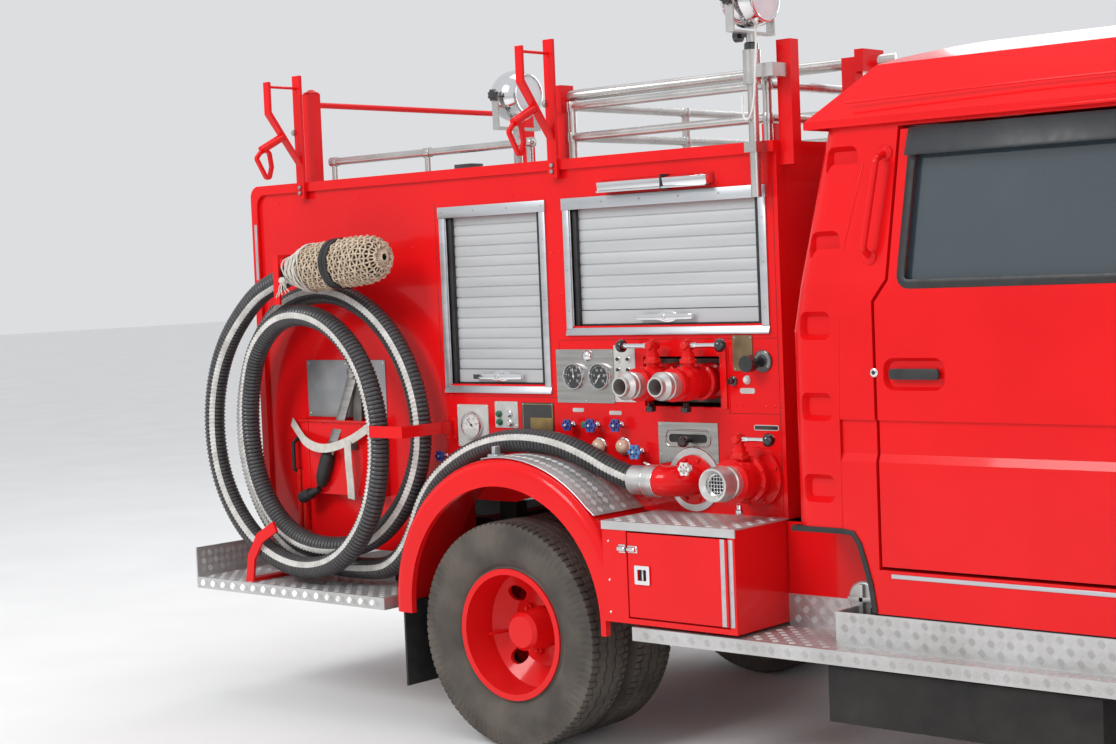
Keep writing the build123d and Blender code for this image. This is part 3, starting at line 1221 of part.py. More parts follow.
# The pole lies askew in the clamps of the middle post and the inner front post
POLE = ((40.0, -BODY_HALF + 59, 2133.0), (1095.0, -BODY_HALF + 493, 2180.0))
POLE_R = 19.0


HOLDERS_X = (-1148.0, 98.0)


def loop_handle(x):
    """The lock handle of a ladder holder: a short tube across the arm with a bent rod loop below it."""
    outline = make_face(FilletPolyline(*[(x, FORK_Y - out, z) for out, z in LOOP], radius=11, close=True))
    band = offset(outline, LOOP_R) - offset(outline, -LOOP_R)
    loop = extrude(band, LOOP_R, dir=(1, 0, 0), both=True)
    return loop + bar((x, FORK_Y - 80, 2088), (x, FORK_Y - 178, 2040), 15)


FORK_Y = -BODY_HALF - LIP_T - 12
# Columns: out from the fork's upright, height
LOOP = [(170, 2044), (204, 2010), (152, 1924), (134, 1980), (142, 2030)]
LOOP_R = 6.5
FORK_TOP = 2316.0


def ladder_holders():
    """Forked ladder holders on the body's right edge, with loop handles."""
    pieces = []
    for x in HOLDERS_X:
        fork = box(x - 20, x + 20, FORK_Y, FORK_Y + 12, BODY_TOP - 62, FORK_TOP)
        fork += front_prism([(FORK_Y, 1985), (FORK_Y + 12, 1985), (FORK_Y - 132, 2178), (FORK_Y - 132, 2287),
                             (FORK_Y - 144, 2287), (FORK_Y - 144, 2170)], x - 14, x + 14)
        fork += rod_y(x, 2270, 5, FORK_Y + 2, FORK_Y - 139)
        pieces.append(fork + loop_handle(x))
    return pieces


POST_Y = BODY_HALF - 63
FRONT_POST_Y = BODY_HALF - 43
INNER_POST_Y = BODY_HALF - 395
# Columns: x, distance from the middle with its side, top; those ahead of the deck stand on the body's front
POSTS = [(-1165.0, -POST_Y, 2254.0), (-1165.0, POST_Y, 2254.0), (77.0, -POST_Y, 2080.0), (77.0, POST_Y, 2080.0),
         (960.0, -FRONT_POST_Y, 2223.0), (960.0, -INNER_POST_Y, 2187.0), (960.0, FRONT_POST_Y, 2223.0)]


def roof_posts():
    """Red posts on the deck and the thin bar between the rear pair."""
    pieces = []
    for x, y, top in POSTS:
        foot = DECK_Z + 4 if x < BODY_FRONT - 40 else 1850
        pieces.append(box(x - 25 if foot > 1860 else BODY_FRONT, x + 25 if foot > 1860 else BODY_FRONT + 50,
                          y - 22, y + 22, foot, top))
    rear = pieces[0] + pieces[1] + rod_y(-1165, 2214, 11, -POST_Y, POST_Y)
    eye = bar(*POLE, POLE_R + SEAM_GAP)
    pieces[2] += box(57, 97, -POST_Y - 30, -POST_Y + 34, 2078, 2170)
    pieces[5] += box(BODY_FRONT + 48, BODY_FRONT + 80, -INNER_POST_Y - 22, -INNER_POST_Y + 98, 2140, 2210)
    return [rear] + [piece - eye for piece in pieces[2:]]


SEARCHLIGHT = (-400.0, -300.0, 2190.0)


def searchlight():
    """Round chrome searchlight with its forked foot."""
    x, y, z = SEARCHLIGHT
    foot = rod_z(x, y, 60, DECK_Z + 4, DECK_Z + 40) + rod_z(x, y, 16, DECK_Z + 40, z - 110)
    foot += box(x - 14, x + 14, y - 112, y + 112, z - 122, z - 112)
    foot += box(x - 14, x + 14, y - 112, y - 106, z - 122, z + 12)
    foot += box(x - 14, x + 14, y + 106, y + 112, z - 122, z + 12)
    head = Pos(x, y, z) * Sphere(92) & box(x - 100, x + 60, y - 100, y + 100, z - 100, z + 100)
    head += rod_y(x, z, 8, y - 105.7, y + 105.7)
    return foot, head


MAST = (925.0, -BODY_HALF - 43)
MAST_R = 16.0
MAST_LOW = 1756.0
MAST_TOP = 2218.0
MAST_SLEEVE = (27.0, 2092.0, 2194.0)
FLOOD_Z = MAST_TOP + 127


def floodlight():
    """Mast beside the front post, swivelling yoke and round lamp head."""
    x, y = MAST
    mast = rod_z(x, y, MAST_R, MAST_LOW, MAST_TOP)
    radius, z0, z1 = MAST_SLEEVE
    mast += rod_z(x, y, radius, z0, z1)
    mast += box(x - 22, x + 22, y - 24, -BODY_HALF - LIP_T, BODY_TOP - LIP_W, BODY_TOP - 4)
    mast += box(x - 16, BODY_FRONT + 40, y - 16, -FRONT_POST_Y - 22, 2110, 2150)
    yoke = rod_z(x, y, 14, MAST_TOP + 0.3, MAST_TOP + 30)
    yoke += box(x - 14, x + 14, y - 106, y + 106, MAST_TOP + 24, MAST_TOP + 30)
    for side in (-1, 1):
        yoke += box(x - 14, x + 14, y + side * 100, y + side * 106, MAST_TOP + 24, FLOOD_Z + 12)
    head = Pos(x, y, FLOOD_Z) * Sphere(88) & box(x - 95, x + 55, y - 95, y + 95, FLOOD_Z - 95, FLOOD_Z + 95)
    head += rod_y(x, FLOOD_Z, 8, y - 99.7, y + 99.7)
    return mast, yoke, head


def work_lamps():
    """Trough lamp over each large shutter."""
    lamp = front_prism([(-BODY_HALF, 1812), (-BODY_HALF - 42, 1806), (-BODY_HALF - 46, 1836),
                        (-BODY_HALF, 1846)], 300, 738)
    return both_sides([lamp])


def under_tanks():
    """Fuel tank and battery box under the running boards."""
    tank = box(1265, 2100, -910, -400, 250, BOARD_LIP - 8)
    battery = box(1265, 1800, 400, 910, 250, BOARD_LIP - 8)
    for y in (-1, 1):
        for x in (1400, 1700):
            strap = box(x - 20, x + 20, y * (RAIL_Y + RAIL_W / 2), y * 470, BOARD_LIP - 20, RAIL_TOP - RAIL_H + 60)
            if y < 0:
                tank += strap
            else:
                battery += strap
    return [tank, battery]


def exhaust():
    """Silencer and pipes under the left rail."""
    pipe = bar((2400, 180, 440), (560, 180, 430), 26) + bar((570, 176, 430), (300, 330, 430), 26)
    for x in (620.0, 1500.0):
        pipe += rod_z(x, 180, 8, 435, RAIL_TOP - RAIL_WALL - SEAM_GAP - MEMBER_H)
    return pipe + rod_x(180, 430, 85, 800, 1400)


def main():
    """Build every piece and write it."""
    save("chassis_frame", chassis_frame())
    save("power_train", power_train())
    save("rear_axle", rear_axle())
    save("front_axle", front_axle())
    springs = [leaf_spring(0, SPRING_SEAT_Z, 1150, y) for y in (-SPRING_Y, SPRING_Y)]
    springs += [leaf_spring(WHEELBASE, TYRE_R + 20, 1050, y) for y in (-FRONT_SPRING_Y, FRONT_SPRING_Y)]
    save("leaf_springs", springs)
    for side, y in (("right", -1), ("left", 1)):
        tyres, rims = wheel_pair(y)
        save(f"rear_tyres_{side}", tyres)
        save(f"rear_rims_{side}", rims)
        tyre, rim = front_wheel(y)
        save(f"front_tyre_{side}", tyre)
        save(f"front_rim_{side}", rim)
        save(f"knuckle_{side}", knuckle(y))
    shell, doors, panes = cab()
    save("cab_shell", [shell] + both_sides([grab_handle()]))
    for name, piece in {**doors, **panes}.items():
        save(name, piece)
    save("cab_roof", cab_roof())
    save("seats", seats())
    save("dashboard", dashboard())
    save("steering_wheel", steering_wheel())
    save("bumper", bumper())
    save("grille", grille())
    save("lamps", headlamps() + tail_lamps() + work_lamps())
    save("mirrors", mirrors())
    save("beacon_bar", beacon_bar())
    save("equipment_body", equipment_body())
    save("shutters", shutters())
    save("panel_plates", panel_plates())
    save("gauges", gauges() + sight_glasses())
    save("pump", pump())
    save("valve_bodies", valve_bodies())
    save("couplings", couplings())
    save("valve_handles", valve_levers() + hand_wheels())
    save("suction_hoses", both_sides([suction_hose()]))
    save("strainer_baskets", both_sides([strainer_basket()]))
    save("hose_brackets", hose_brackets())
    save("fenders", both_sides([fender()]))
    save("step_boxes", both_sides([step_box(), skirt()]))
    save("locker_door_right", locker_door())
    save("locker_door_left", mirrored(locker_door()))
    save("treads", treads() + [deck_plate()])
    save("mud_flaps", mud_flaps())
    save("roof_rails", roof_rails())
    save("roof_holders", ladder_holders() + roof_posts())
    foot, head = searchlight()
    mast, yoke, lamp = floodlight()
    save("lamp_supports", [foot, mast])
    save("searchlight", head)
    save("floodlight_yoke", yoke)
    save("floodlight", lamp)
    save("under_tanks", under_tanks())
    save("exhaust", exhaust())


main()
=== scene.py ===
"""Looks of the crew-cab light fire truck, built around its CAD frame.

Sizes are written in millimetres with X from the rear axle, as in the part's source, and turned into the row
frame's metres when a mesh is made. The right side is -Y; what both sides have is built there and mirrored.
"""
import json
import math
import random

import bmesh
import bpy
from mathutils import Matrix, Vector


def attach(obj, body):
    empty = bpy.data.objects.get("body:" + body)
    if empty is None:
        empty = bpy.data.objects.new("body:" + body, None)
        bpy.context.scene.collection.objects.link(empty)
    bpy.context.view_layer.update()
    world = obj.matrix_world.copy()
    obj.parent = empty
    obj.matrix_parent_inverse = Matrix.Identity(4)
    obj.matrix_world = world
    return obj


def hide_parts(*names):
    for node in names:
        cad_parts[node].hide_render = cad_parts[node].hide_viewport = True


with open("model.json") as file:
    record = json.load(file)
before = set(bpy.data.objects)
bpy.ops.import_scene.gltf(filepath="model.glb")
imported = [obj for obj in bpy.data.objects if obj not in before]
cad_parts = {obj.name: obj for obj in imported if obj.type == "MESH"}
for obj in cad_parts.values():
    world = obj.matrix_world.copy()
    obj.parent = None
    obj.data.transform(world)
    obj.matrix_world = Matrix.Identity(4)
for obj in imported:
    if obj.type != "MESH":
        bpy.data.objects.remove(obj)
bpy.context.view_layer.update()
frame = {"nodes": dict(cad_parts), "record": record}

SHIFT_X = -1160.0
PHOTO_W = 1116
FOCAL_PX = 1955.9
SENSOR_MM = 36.0
# Half widths: of the body, over the fenders, of the cab up to its belt and of the cab's roof edge
BODY_HALF = 657.0
OUTER_HALF = 930.0
CAB_HALF = 850.0
CAB_TOP_HALF = 812.0
BELT_Z = 1485.0
DRIP_Z = 1930.0
WHEELBASE = 2800.0
TYRE_R = 374.0
# Distances of the outer rear tyre and the front tyre from the middle, and between the twin tyres
DUAL_Y = 803.0
DUAL_PITCH = 226.0
FRONT_TRACK_Y = 695.0
BACK = -1450.0
FRONT_X = 3780.0


def place(x, y, z):
    """Row-frame metres from rear-axle millimetres."""
    return Vector(((x + SHIFT_X) / 1000, y / 1000, z / 1000))


# Node materials

def node_of(nodes, kind, **values):
    """A new shader node with its sockets set; an underscore stands for a space in a socket's name."""
    node = nodes.new("ShaderNode" + kind)
    for socket, value in values.items():
        node.inputs[socket.replace("_", " ")].default_value = value
    return node


def noise(nodes, links, scale, detail=3.0, rough=0.5, stretch=None):
    """A noise texture's factor socket in object coordinates, stretched along the axes if asked."""
    source = nodes.new("ShaderNodeTexCoord").outputs["Object"]
    texture = node_of(nodes, "TexNoise", Scale=scale, Detail=detail, Roughness=rough)
    if stretch:
        mapping = node_of(nodes, "Mapping", Scale=stretch)
        links.new(source, mapping.inputs["Vector"])
        source = mapping.outputs["Vector"]
    links.new(source, texture.inputs["Vector"])
    return texture.outputs["Fac"]


def ramp(nodes, links, factor, low, high):
    """Two colours mixed over a factor."""
    node = nodes.new("ShaderNodeValToRGB")
    for element, position, colour in zip(node.color_ramp.elements, (0.35, 0.65), (low, high)):
        element.position = position
        element.color = (*colour, 1.0)
    links.new(factor, node.inputs["Fac"])
    return node.outputs["Color"]


def spread(nodes, links, factor, low, high):
    """A factor mapped from 0.3..0.7 to low..high."""
    node = node_of(nodes, "MapRange", From_Min=0.3, From_Max=0.7, To_Min=low, To_Max=high)
    links.new(factor, node.inputs["Value"])
    return node.outputs["Result"]


def dusted(nodes, links, shade, top, strength):
    """A colour under dust that thins out from the ground to a height in mm."""
    coords = nodes.new("ShaderNodeTexCoord")
    split = nodes.new("ShaderNodeSeparateXYZ")
    links.new(coords.outputs["Object"], split.inputs["Vector"])
    height = node_of(nodes, "MapRange", From_Min=top / 1000, From_Max=0.1, To_Max=strength)
    links.new(split.outputs["Z"], height.inputs["Value"])
    product = nodes.new("ShaderNodeMath")
    product.operation = "MULTIPLY"
    links.new(height.outputs["Result"], product.inputs[0])
    links.new(spread(nodes, links, noise(nodes, links, 6.0, 6.0, 0.65), 0.3, 1.0), product.inputs[1])
    mix = nodes.new("ShaderNodeMix")
    mix.data_type = "RGBA"
    links.new(product.outputs[0], mix.inputs["Factor"])
    links.new(shade, mix.inputs["A"])
    mix.inputs["B"].default_value = (*DUST, 1.0)
    return mix.outputs["Result"]


def finish_of(name, colour, other, rough, scale, metallic=0.0, stretch=None, bump=None, coat=0.0,
              coat_rough=0.05, specular=0.5, alpha=1.0, dirt=None):
    """A procedural finish: two close colours mixed by noise, uneven roughness and a fine bump.

    rough is (least, most), bump is (strength, noise scale) and dirt is (top height in mm, strength).
    """
    material = bpy.data.materials.new(name)
    material.use_nodes = True
    nodes, links = material.node_tree.nodes, material.node_tree.links
    shader = nodes["Principled BSDF"]
    shade = ramp(nodes, links, noise(nodes, links, scale, stretch=stretch), colour, other)
    if dirt:
        shade = dusted(nodes, links, shade, *dirt)
    links.new(shade, shader.inputs["Base Color"])
    links.new(spread(nodes, links, noise(nodes, links, scale * 1.7, 4.0), *rough), shader.inputs["Roughness"])
    shader.inputs["Metallic"].default_value = metallic
    shader.inputs["Specular IOR Level"].default_value = specular
    shader.inputs["IOR"].default_value = 1.45
    shader.inputs["Coat Weight"].default_value = coat
    shader.inputs["Coat Roughness"].default_value = coat_rough
    shader.inputs["Alpha"].default_value = alpha
    if bump:
        strength, grain = bump
        relief = node_of(nodes, "Bump", Strength=strength, Distance=0.002)
        links.new(noise(nodes, links, grain, 2.0, stretch=stretch), relief.inputs["Height"])
        links.new(relief.outputs["Normal"], shader.inputs["Normal"])
    return material


DUST = (0.30, 0.26, 0.22)
RED = finish_of("red_coach_paint", (0.76, 0.007, 0.009), (0.71, 0.006, 0.008), (0.16, 0.24), 3.0,
                bump=(0.02, 90.0), coat=0.20, coat_rough=0.04, specular=0.18, dirt=(560.0, 0.07))
RED_METAL = finish_of("red_gear_paint", (0.72, 0.012, 0.008), (0.62, 0.010, 0.007), (0.22, 0.38), 14.0,
                      bump=(0.10, 160.0), coat=0.15, specular=0.3)
BLACK_FRAME = finish_of("chassis_black", (0.010, 0.010, 0.011), (0.020, 0.019, 0.018), (0.5, 0.75), 9.0,
                        bump=(0.15, 120.0), specular=0.3, dirt=(900.0, 0.07))
CAST = finish_of("cast_iron_dusty", (0.10, 0.095, 0.09), (0.19, 0.17, 0.15), (0.5, 0.75), 18.0, metallic=0.6,
                 bump=(0.4, 220.0))
RUBBER = finish_of("black_rubber", (0.014, 0.014, 0.015), (0.026, 0.025, 0.024), (0.42, 0.62), 20.0,
                   bump=(0.12, 300.0))
TYRE = finish_of("tyre_rubber_dusty", (0.060, 0.053, 0.046), (0.115, 0.098, 0.082), (0.7, 0.9), 7.0,
                 bump=(0.25, 260.0))
PLASTIC = finish_of("black_moulded_plastic", (0.018, 0.018, 0.019), (0.028, 0.028, 0.029), (0.35, 0.5), 30.0,
                    bump=(0.15, 700.0))
GLASS = finish_of("tinted_window_glass", (0.055, 0.080, 0.095), (0.048, 0.072, 0.086), (0.02, 0.04), 2.0,
                  coat=1.0, coat_rough=0.01, specular=0.8, alpha=0.72)
VINYL = finish_of("seat_vinyl", (0.055, 0.056, 0.060), (0.075, 0.075, 0.078), (0.4, 0.55), 25.0,
                  bump=(0.25, 420.0))
LENS_CLEAR = finish_of("clear_lamp_lens", (0.72, 0.73, 0.75), (0.62, 0.64, 0.66), (0.05, 0.1), 12.0,
                       coat=1.0, specular=0.7)
LENS_RED = finish_of("red_lamp_lens", (0.48, 0.006, 0.008), (0.40, 0.004, 0.006), (0.08, 0.14), 12.0,
                     coat=1.0)
LENS_AMBER = finish_of("amber_lamp_lens", (0.70, 0.20, 0.01), (0.62, 0.16, 0.01), (0.08, 0.14), 12.0,
                       coat=1.0)
ALU = finish_of("satin_aluminium", (0.58, 0.60, 0.62), (0.50, 0.52, 0.54), (0.34, 0.46), 5.0, metallic=0.85,
                stretch=(0.4, 1.0, 6.0), bump=(0.05, 120.0))
SLAT = finish_of("shutter_slat", (0.53, 0.545, 0.55), (0.47, 0.485, 0.49), (0.38, 0.5), 4.0, metallic=0.35,
                 stretch=(0.3, 1.0, 5.0), bump=(0.04, 150.0))
STEEL = finish_of("brushed_steel", (0.44, 0.43, 0.41), (0.34, 0.33, 0.31), (0.25, 0.4), 6.0, metallic=0.95,
                  stretch=(0.5, 1.0, 14.0), bump=(0.06, 200.0))
STAINLESS = finish_of("stainless_tube", (0.58, 0.57, 0.55), (0.50, 0.49, 0.47), (0.22, 0.34), 9.0,
                      metallic=0.95, bump=(0.04, 150.0))
CHROME = finish_of("bright_chrome", (0.78, 0.78, 0.79), (0.72, 0.72, 0.73), (0.06, 0.14), 9.0, metallic=1.0)
COUPLING = finish_of("machined_alloy", (0.66, 0.66, 0.64), (0.55, 0.55, 0.53), (0.28, 0.42), 26.0,
                     metallic=0.8, bump=(0.08, 240.0))
TREAD = finish_of("tread_plate", (0.60, 0.60, 0.60), (0.50, 0.50, 0.49), (0.28, 0.45), 7.0, metallic=0.6,
                  bump=(0.08, 160.0), dirt=(700.0, 0.25))
WICKER = finish_of("cane_wicker", (0.66, 0.55, 0.42), (0.42, 0.32, 0.22), (0.55, 0.75), 60.0,
                   bump=(0.3, 500.0))
CLOTH = finish_of("white_webbing", (0.66, 0.63, 0.57), (0.54, 0.51, 0.46), (0.75, 0.9), 40.0,
                  bump=(0.5, 900.0))
WHITE = finish_of("white_enamel", (0.72, 0.72, 0.70), (0.64, 0.64, 0.62), (0.25, 0.4), 16.0, coat=0.3)
# Lighter than the black rubber: a painted sheen that stands for the glints on the ribs, with dust that thins
# out upwards.
HOSE_RIB_DUST_AND_SHEEN = finish_of("hose_rib_dust_and_painted_sheen", (0.038, 0.039, 0.042), (0.056, 0.056, 0.060), (0.28, 0.42), 26.0,
                     specular=0.6, dirt=(1900.0, 0.10))
# Near black: painted shade, put in the hose's grooves and inside the strainer basket.
SHADE_BLACK = finish_of("painted_shade_black", (0.005, 0.005, 0.005), (0.008, 0.008, 0.008), (0.7, 0.85), 26.0)
STRIPE = finish_of("white_hose_stripe", (0.66, 0.65, 0.62), (0.50, 0.48, 0.45), (0.5, 0.65), 24.0,
                   bump=(0.1, 300.0))
BLUE = finish_of("blue_enamel", (0.02, 0.07, 0.32), (0.015, 0.05, 0.24), (0.25, 0.4), 20.0, coat=0.4)
GREEN = finish_of("green_enamel", (0.02, 0.16, 0.08), (0.015, 0.12, 0.06), (0.3, 0.4), 20.0)
DIAL = finish_of("black_dial", (0.010, 0.010, 0.011), (0.014, 0.014, 0.015), (0.3, 0.4), 30.0, coat=1.0)
AMBER_GLASS = finish_of("milky_glass", (0.62, 0.38, 0.24), (0.70, 0.55, 0.42), (0.1, 0.2), 30.0, coat=1.0,
                        specular=0.7)
BRASS = finish_of("dull_brass", (0.42, 0.30, 0.12), (0.30, 0.22, 0.10), (0.35, 0.5), 20.0, metallic=0.9)
ZINC = finish_of("zinc_sheet", (0.42, 0.42, 0.42), (0.33, 0.34, 0.35), (0.35, 0.5), 10.0, metallic=0.8,
                 bump=(0.05, 60.0))
PALE_PLATE = finish_of("pale_plate", (0.55, 0.55, 0.52), (0.46, 0.46, 0.44), (0.35, 0.5), 22.0)
BRONZE = finish_of("bronze_plate", (0.26, 0.19, 0.10), (0.19, 0.14, 0.08), (0.35, 0.5), 25.0, metallic=0.6)
KNOB = finish_of("black_gloss_knob", (0.010, 0.010, 0.011), (0.018, 0.018, 0.019), (0.12, 0.22), 30.0,
                 coat=0.8)
LIGHT_BLUE = finish_of("light_blue_enamel", (0.06, 0.22, 0.50), (0.05, 0.18, 0.42), (0.25, 0.4), 20.0,
                       coat=0.4)
SMOKE = finish_of("smoked_visor", (0.030, 0.034, 0.038), (0.040, 0.044, 0.048), (0.32, 0.45), 14.0,
                  specular=0.4, alpha=0.82)
SEAM = finish_of("seam_shadow", (0.10, 0.004, 0.005), (0.07, 0.003, 0.004), (0.6, 0.8), 20.0)
ALU_CAST = finish_of("cast_aluminium", (0.52, 0.52, 0.51), (0.42, 0.42, 0.41), (0.38, 0.55), 22.0,
                     metallic=0.8, bump=(0.15, 260.0))

SLOT_FINISH = {
    "red_paint": RED, "chassis_black": BLACK_FRAME, "cast_metal": CAST, "tyre": TYRE, "cab_glass": GLASS,
    "seat_vinyl": VINYL, "cab_plastic": PLASTIC, "lamp_lens": LENS_CLEAR, "beacon_lens": LENS_RED,
    "shutter_aluminium": SLAT, "panel_steel": STEEL, "gauge_face": DIAL, "coupling_alloy": COUPLING,
    "handle_steel": CHROME, "hose_rubber": RUBBER, "wicker": WICKER, "tread_plate": TREAD,
    "stainless": STAINLESS, "chrome_lamp": CHROME,
}
SLOT_OF_NODE = {row["node"]: row["material_slot"] for row in frame["record"]["subparts"]}


def dress_nodes():
    """Give every CAD node the finish of its slot."""
    for name, node in frame["nodes"].items():
        node.data.materials.clear()
        node.data.materials.append(SLOT_FINISH[SLOT_OF_NODE[name]])


# Mesh building in millimetres

def around(count):
    """Angles of equal steps round a circle."""
    return [2 * math.pi * i / count for i in range(count)]


def ring_faces(rows, count, caps=True, closed=False):
    """Faces between rings of points, on the ends if asked, and from the last ring to the first if closed."""
    faces = []
    for row in range(rows if closed else rows - 1):
        low, high = row * count, (row + 1) % rows * count
        for i in range(count):
            j = (i + 1) % count
            faces.append((low + i, low + j, high + j, high + i))
    if caps:
        faces.append(list(range(count))[::-1])
        faces.append([(rows - 1) * count + i for i in range(count)])
    return faces


def heading(line, i):
    """The direction of a line of points at one of them."""
    return (line[min(i + 1, len(line) - 1)] - line[max(i - 1, 0)]).normalized()


class Shape:
    """Vertices and faces with material numbers; every call adds to it."""

    def __init__(self):
        self.points = []
        self.faces = []
        self.numbers = []
        self.number = 0

    def add(self, points, faces):
        """Add vertices and faces that count from the first of them."""
        first = len(self.points)
        self.points += [Vector(p) for p in points]
        for face in faces:
            self.faces.append([first + i for i in face])
            self.numbers.append(self.number)

    def box(self, x0, x1, y0, y1, z0, z1):
        """A block between two corners."""
        corners = [(x, y, z) for z in (z0, z1) for y in (y0, y1) for x in (x0, x1)]
        self.add(corners, [(0, 2, 3, 1), (4, 5, 7, 6), (0, 1, 5, 4), (2, 6, 7, 3), (0, 4, 6, 2),
                           (1, 3, 7, 5)])

    def slab(self, base, lift):
        """Four points and the same four moved by lift, closed to a block."""
        self.add([Vector(p) for p in base] + [Vector(p) + lift for p in base],
                 [(0, 1, 2, 3), (4, 7, 6, 5), (0, 4, 5, 1), (1, 5, 6, 2), (2, 6, 7, 3), (3, 7, 4, 0)])

    def prism(self, outline, low, high, axis="y"):
        """An outline carried along an axis: (x, z) along y, (y, z) along x or (x, y) along z."""
        def at(a, b, depth):
            return {"y": (a, depth, b), "x": (depth, a, b), "z": (a, b, depth)}[axis]
        count = len(outline)
        points = [at(a, b, low) for a, b in outline] + [at(a, b, high) for a, b in outline]
        faces = [list(range(count))[::-1], list(range(count, 2 * count))]
        faces += [(i, (i + 1) % count, count + (i + 1) % count, count + i) for i in range(count)]
        self.add(points, faces)

    def turn(self, origin, axis, profile, sides, caps=True):
        """A turned form: profile rows are (along the axis, radius)."""
        origin, axis = Vector(origin), Vector(axis).normalized()
        across = axis.orthogonal().normalized()
        other = axis.cross(across)
        self.add([origin + axis * along + (across * math.cos(t) + other * math.sin(t)) * radius
                  for along, radius in profile for t in around(sides)], ring_faces(len(profile), sides, caps))

    def stud(self, x, z, profile, sides, base):
        """A turned form that stands out from the right side; base is its foot's distance from the middle."""
        self.turn((x, -base, z), (0, -1, 0), profile, sides)

    def rod(self, start, end, radius, sides):
        """A round bar between two points."""
        start, end = Vector(start), Vector(end)
        self.turn(start, end - start, [(0, radius), ((end - start).length, radius)], sides)

    def ball(self, centre, radius, sides, rows, scale=(1, 1, 1)):
        """A ball, stretched by scale."""
        points = [(0, 0, -1)]
        for polar in (math.pi * row / rows for row in range(1, rows)):
            points += [(math.sin(polar) * math.cos(t), math.sin(polar) * math.sin(t), -math.cos(polar))
                       for t in around(sides)]
        points.append((0, 0, 1))
        last = 1 + (rows - 2) * sides
        faces = [(0, 1 + (i + 1) % sides, 1 + i) for i in range(sides)]
        faces += [[1 + i for i in face] for face in ring_faces(rows - 1, sides, caps=False)]
        faces += [(last + i, last + (i + 1) % sides, len(points) - 1) for i in range(sides)]
        self.add([Vector(centre) + Vector([a * b for a, b in zip(p, scale)]) * radius for p in points], faces)

    def sweep(self, line, section, up=None):
        """A section of (across, other) rows carried along points; across lies along up if that is given."""
        line = [Vector(p) for p in line]
        side, points = None, []
        for i, point in enumerate(line):
            ahead = heading(line, i)
            if up is not None:
                side = Vector(up)
            elif side is None:
                side = ahead.orthogonal()
            side = (side - ahead * ahead.dot(side)).normalized()
            other = ahead.cross(side)
            points += [point + side * a + other * b for a, b in section]
        self.add(points, ring_faces(len(line), len(section)))

    def tube(self, line, radius, sides):
        """A round tube along points."""
        self.sweep(line, [(radius * math.cos(t), radius * math.sin(t)) for t in around(sides)])

    def band(self, line, width, thick, up):
        """A flat band along points; its width lies along up."""
        a, b = width / 2, thick / 2
        self.sweep(line, [(-a, -b), (a, -b), (a, b), (-a, b)], up)

    def mirror(self):
        """Add the same again on the other side of the truck."""
        count = len(self.points)
        self.points += [Vector((p.x, -p.y, p.z)) for p in self.points]
        self.faces += [[count + i for i in face][::-1] for face in self.faces]
        self.numbers += self.numbers

    def piece(self, name, body, slot, finishes, replaces=(), smooth=40.0, bevel=0.0, mirror=False):
        """Make the Blender object, eased and shaded, and let it ride on its body."""
        if mirror:
            self.mirror()
        mesh = bpy.data.meshes.new(name)
        mesh.from_pydata([place(*p) for p in self.points], [], self.faces)
        for finish in finishes:
            mesh.materials.append(finish)
        mesh.polygons.foreach_set("material_index", self.numbers)
        work = bmesh.new()
        work.from_mesh(mesh)
        bmesh.ops.recalc_face_normals(work, faces=work.faces)
        work.to_mesh(mesh)
        work.free()
        piece = bpy.data.objects.new(name, mesh)
        bpy.context.scene.collection.objects.link(piece)
        if bevel:
            ease = piece.modifiers.new("ease", "BEVEL")
            ease.width = bevel / 1000
            ease.segments = 2
            ease.limit_method = "ANGLE"
            ease.angle_limit = math.radians(35)
            apply_modifiers(piece)
        shade(piece, smooth)
        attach(piece, body)
        if replaces:
            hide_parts(*replaces)

    def sides(self, name, body, slot, finishes, replaces=(), **looks):
        """A piece on the right and its mirror image on the left, each on its own side's body."""
        for side in ("right", "left"):
            tail = "" if body == "truck" else f"_{side}"
            self.piece(f"{name}_{side}", body + tail, slot, finishes, [node + tail for node in replaces],
                       **looks)
            self.points = [Vector((p.x, -p.y, p.z)) for p in self.points]
            self.faces = [face[::-1] for face in self.faces]


def apply_modifiers(piece):
    """Bake a piece's modifiers into its mesh."""
    graph = bpy.context.evaluated_depsgraph_get()
    done = bpy.data.meshes.new_from_object(piece.evaluated_get(graph))
    piece.modifiers.clear()
    piece.data = done


def shade(piece, angle):
    """Smooth shading with sharp edges over an angle."""
    mesh = piece.data
    work = bmesh.new()
    work.from_mesh(mesh)
    limit = math.radians(angle)
    for face in work.faces:
        face.smooth = True
    for edge in work.edges:
        edge.smooth = not (len(edge.link_faces) == 2 and edge.calc_face_angle(0) > limit)
    work.to_mesh(mesh)
    work.free()


def baked(curve):
    """Vertices and faces of a curve's mesh; the curve is removed."""
    holder = bpy.data.objects.new("baked", curve)
    bpy.context.scene.collection.objects.link(holder)
    mesh = bpy.data.meshes.new_from_object(holder.evaluated_get(bpy.context.evaluated_depsgraph_get()))
    points = [vertex.co.copy() for vertex in mesh.vertices]
    faces = [list(polygon.vertices) for polygon in mesh.polygons]
    bpy.data.objects.remove(holder)
    bpy.data.meshes.remove(mesh)
    bpy.data.curves.remove(curve)
    return points, faces


def smooth_line(points, resolution=24):
    """Points along the NURBS curve whose control points these are."""
    curve = bpy.data.curves.new("route", "CURVE")
    curve.dimensions = "3D"
    curve.resolution_u = resolution
    spline = curve.splines.new("NURBS")
    spline.points.add(len(points) - 1)
    for knot, point in zip(spline.points, points):
        knot.co = (*point, 1)
    spline.order_u = 3
    spline.use_endpoint_u = True
    return baked(curve)[0]


# Suction hose, strainer basket and what holds them

COIL = (-990.0, 1003.0)
HOSE_FRONT_Y = 862.0
HOSE_BACK_Y = 752.0
HOSE_MIDDLE_Y = 811.0
HOSE_R = 39.0
HOSE_GROOVE = 4.0
RIB_PITCH = 14.8
STRAINER_END = (-1000.0, 1592.0)
SUCTION = (620.0, 888.0)
SLEEVE_BACK_X = 437.0
SUCTION_HOSE_Y = 735.0
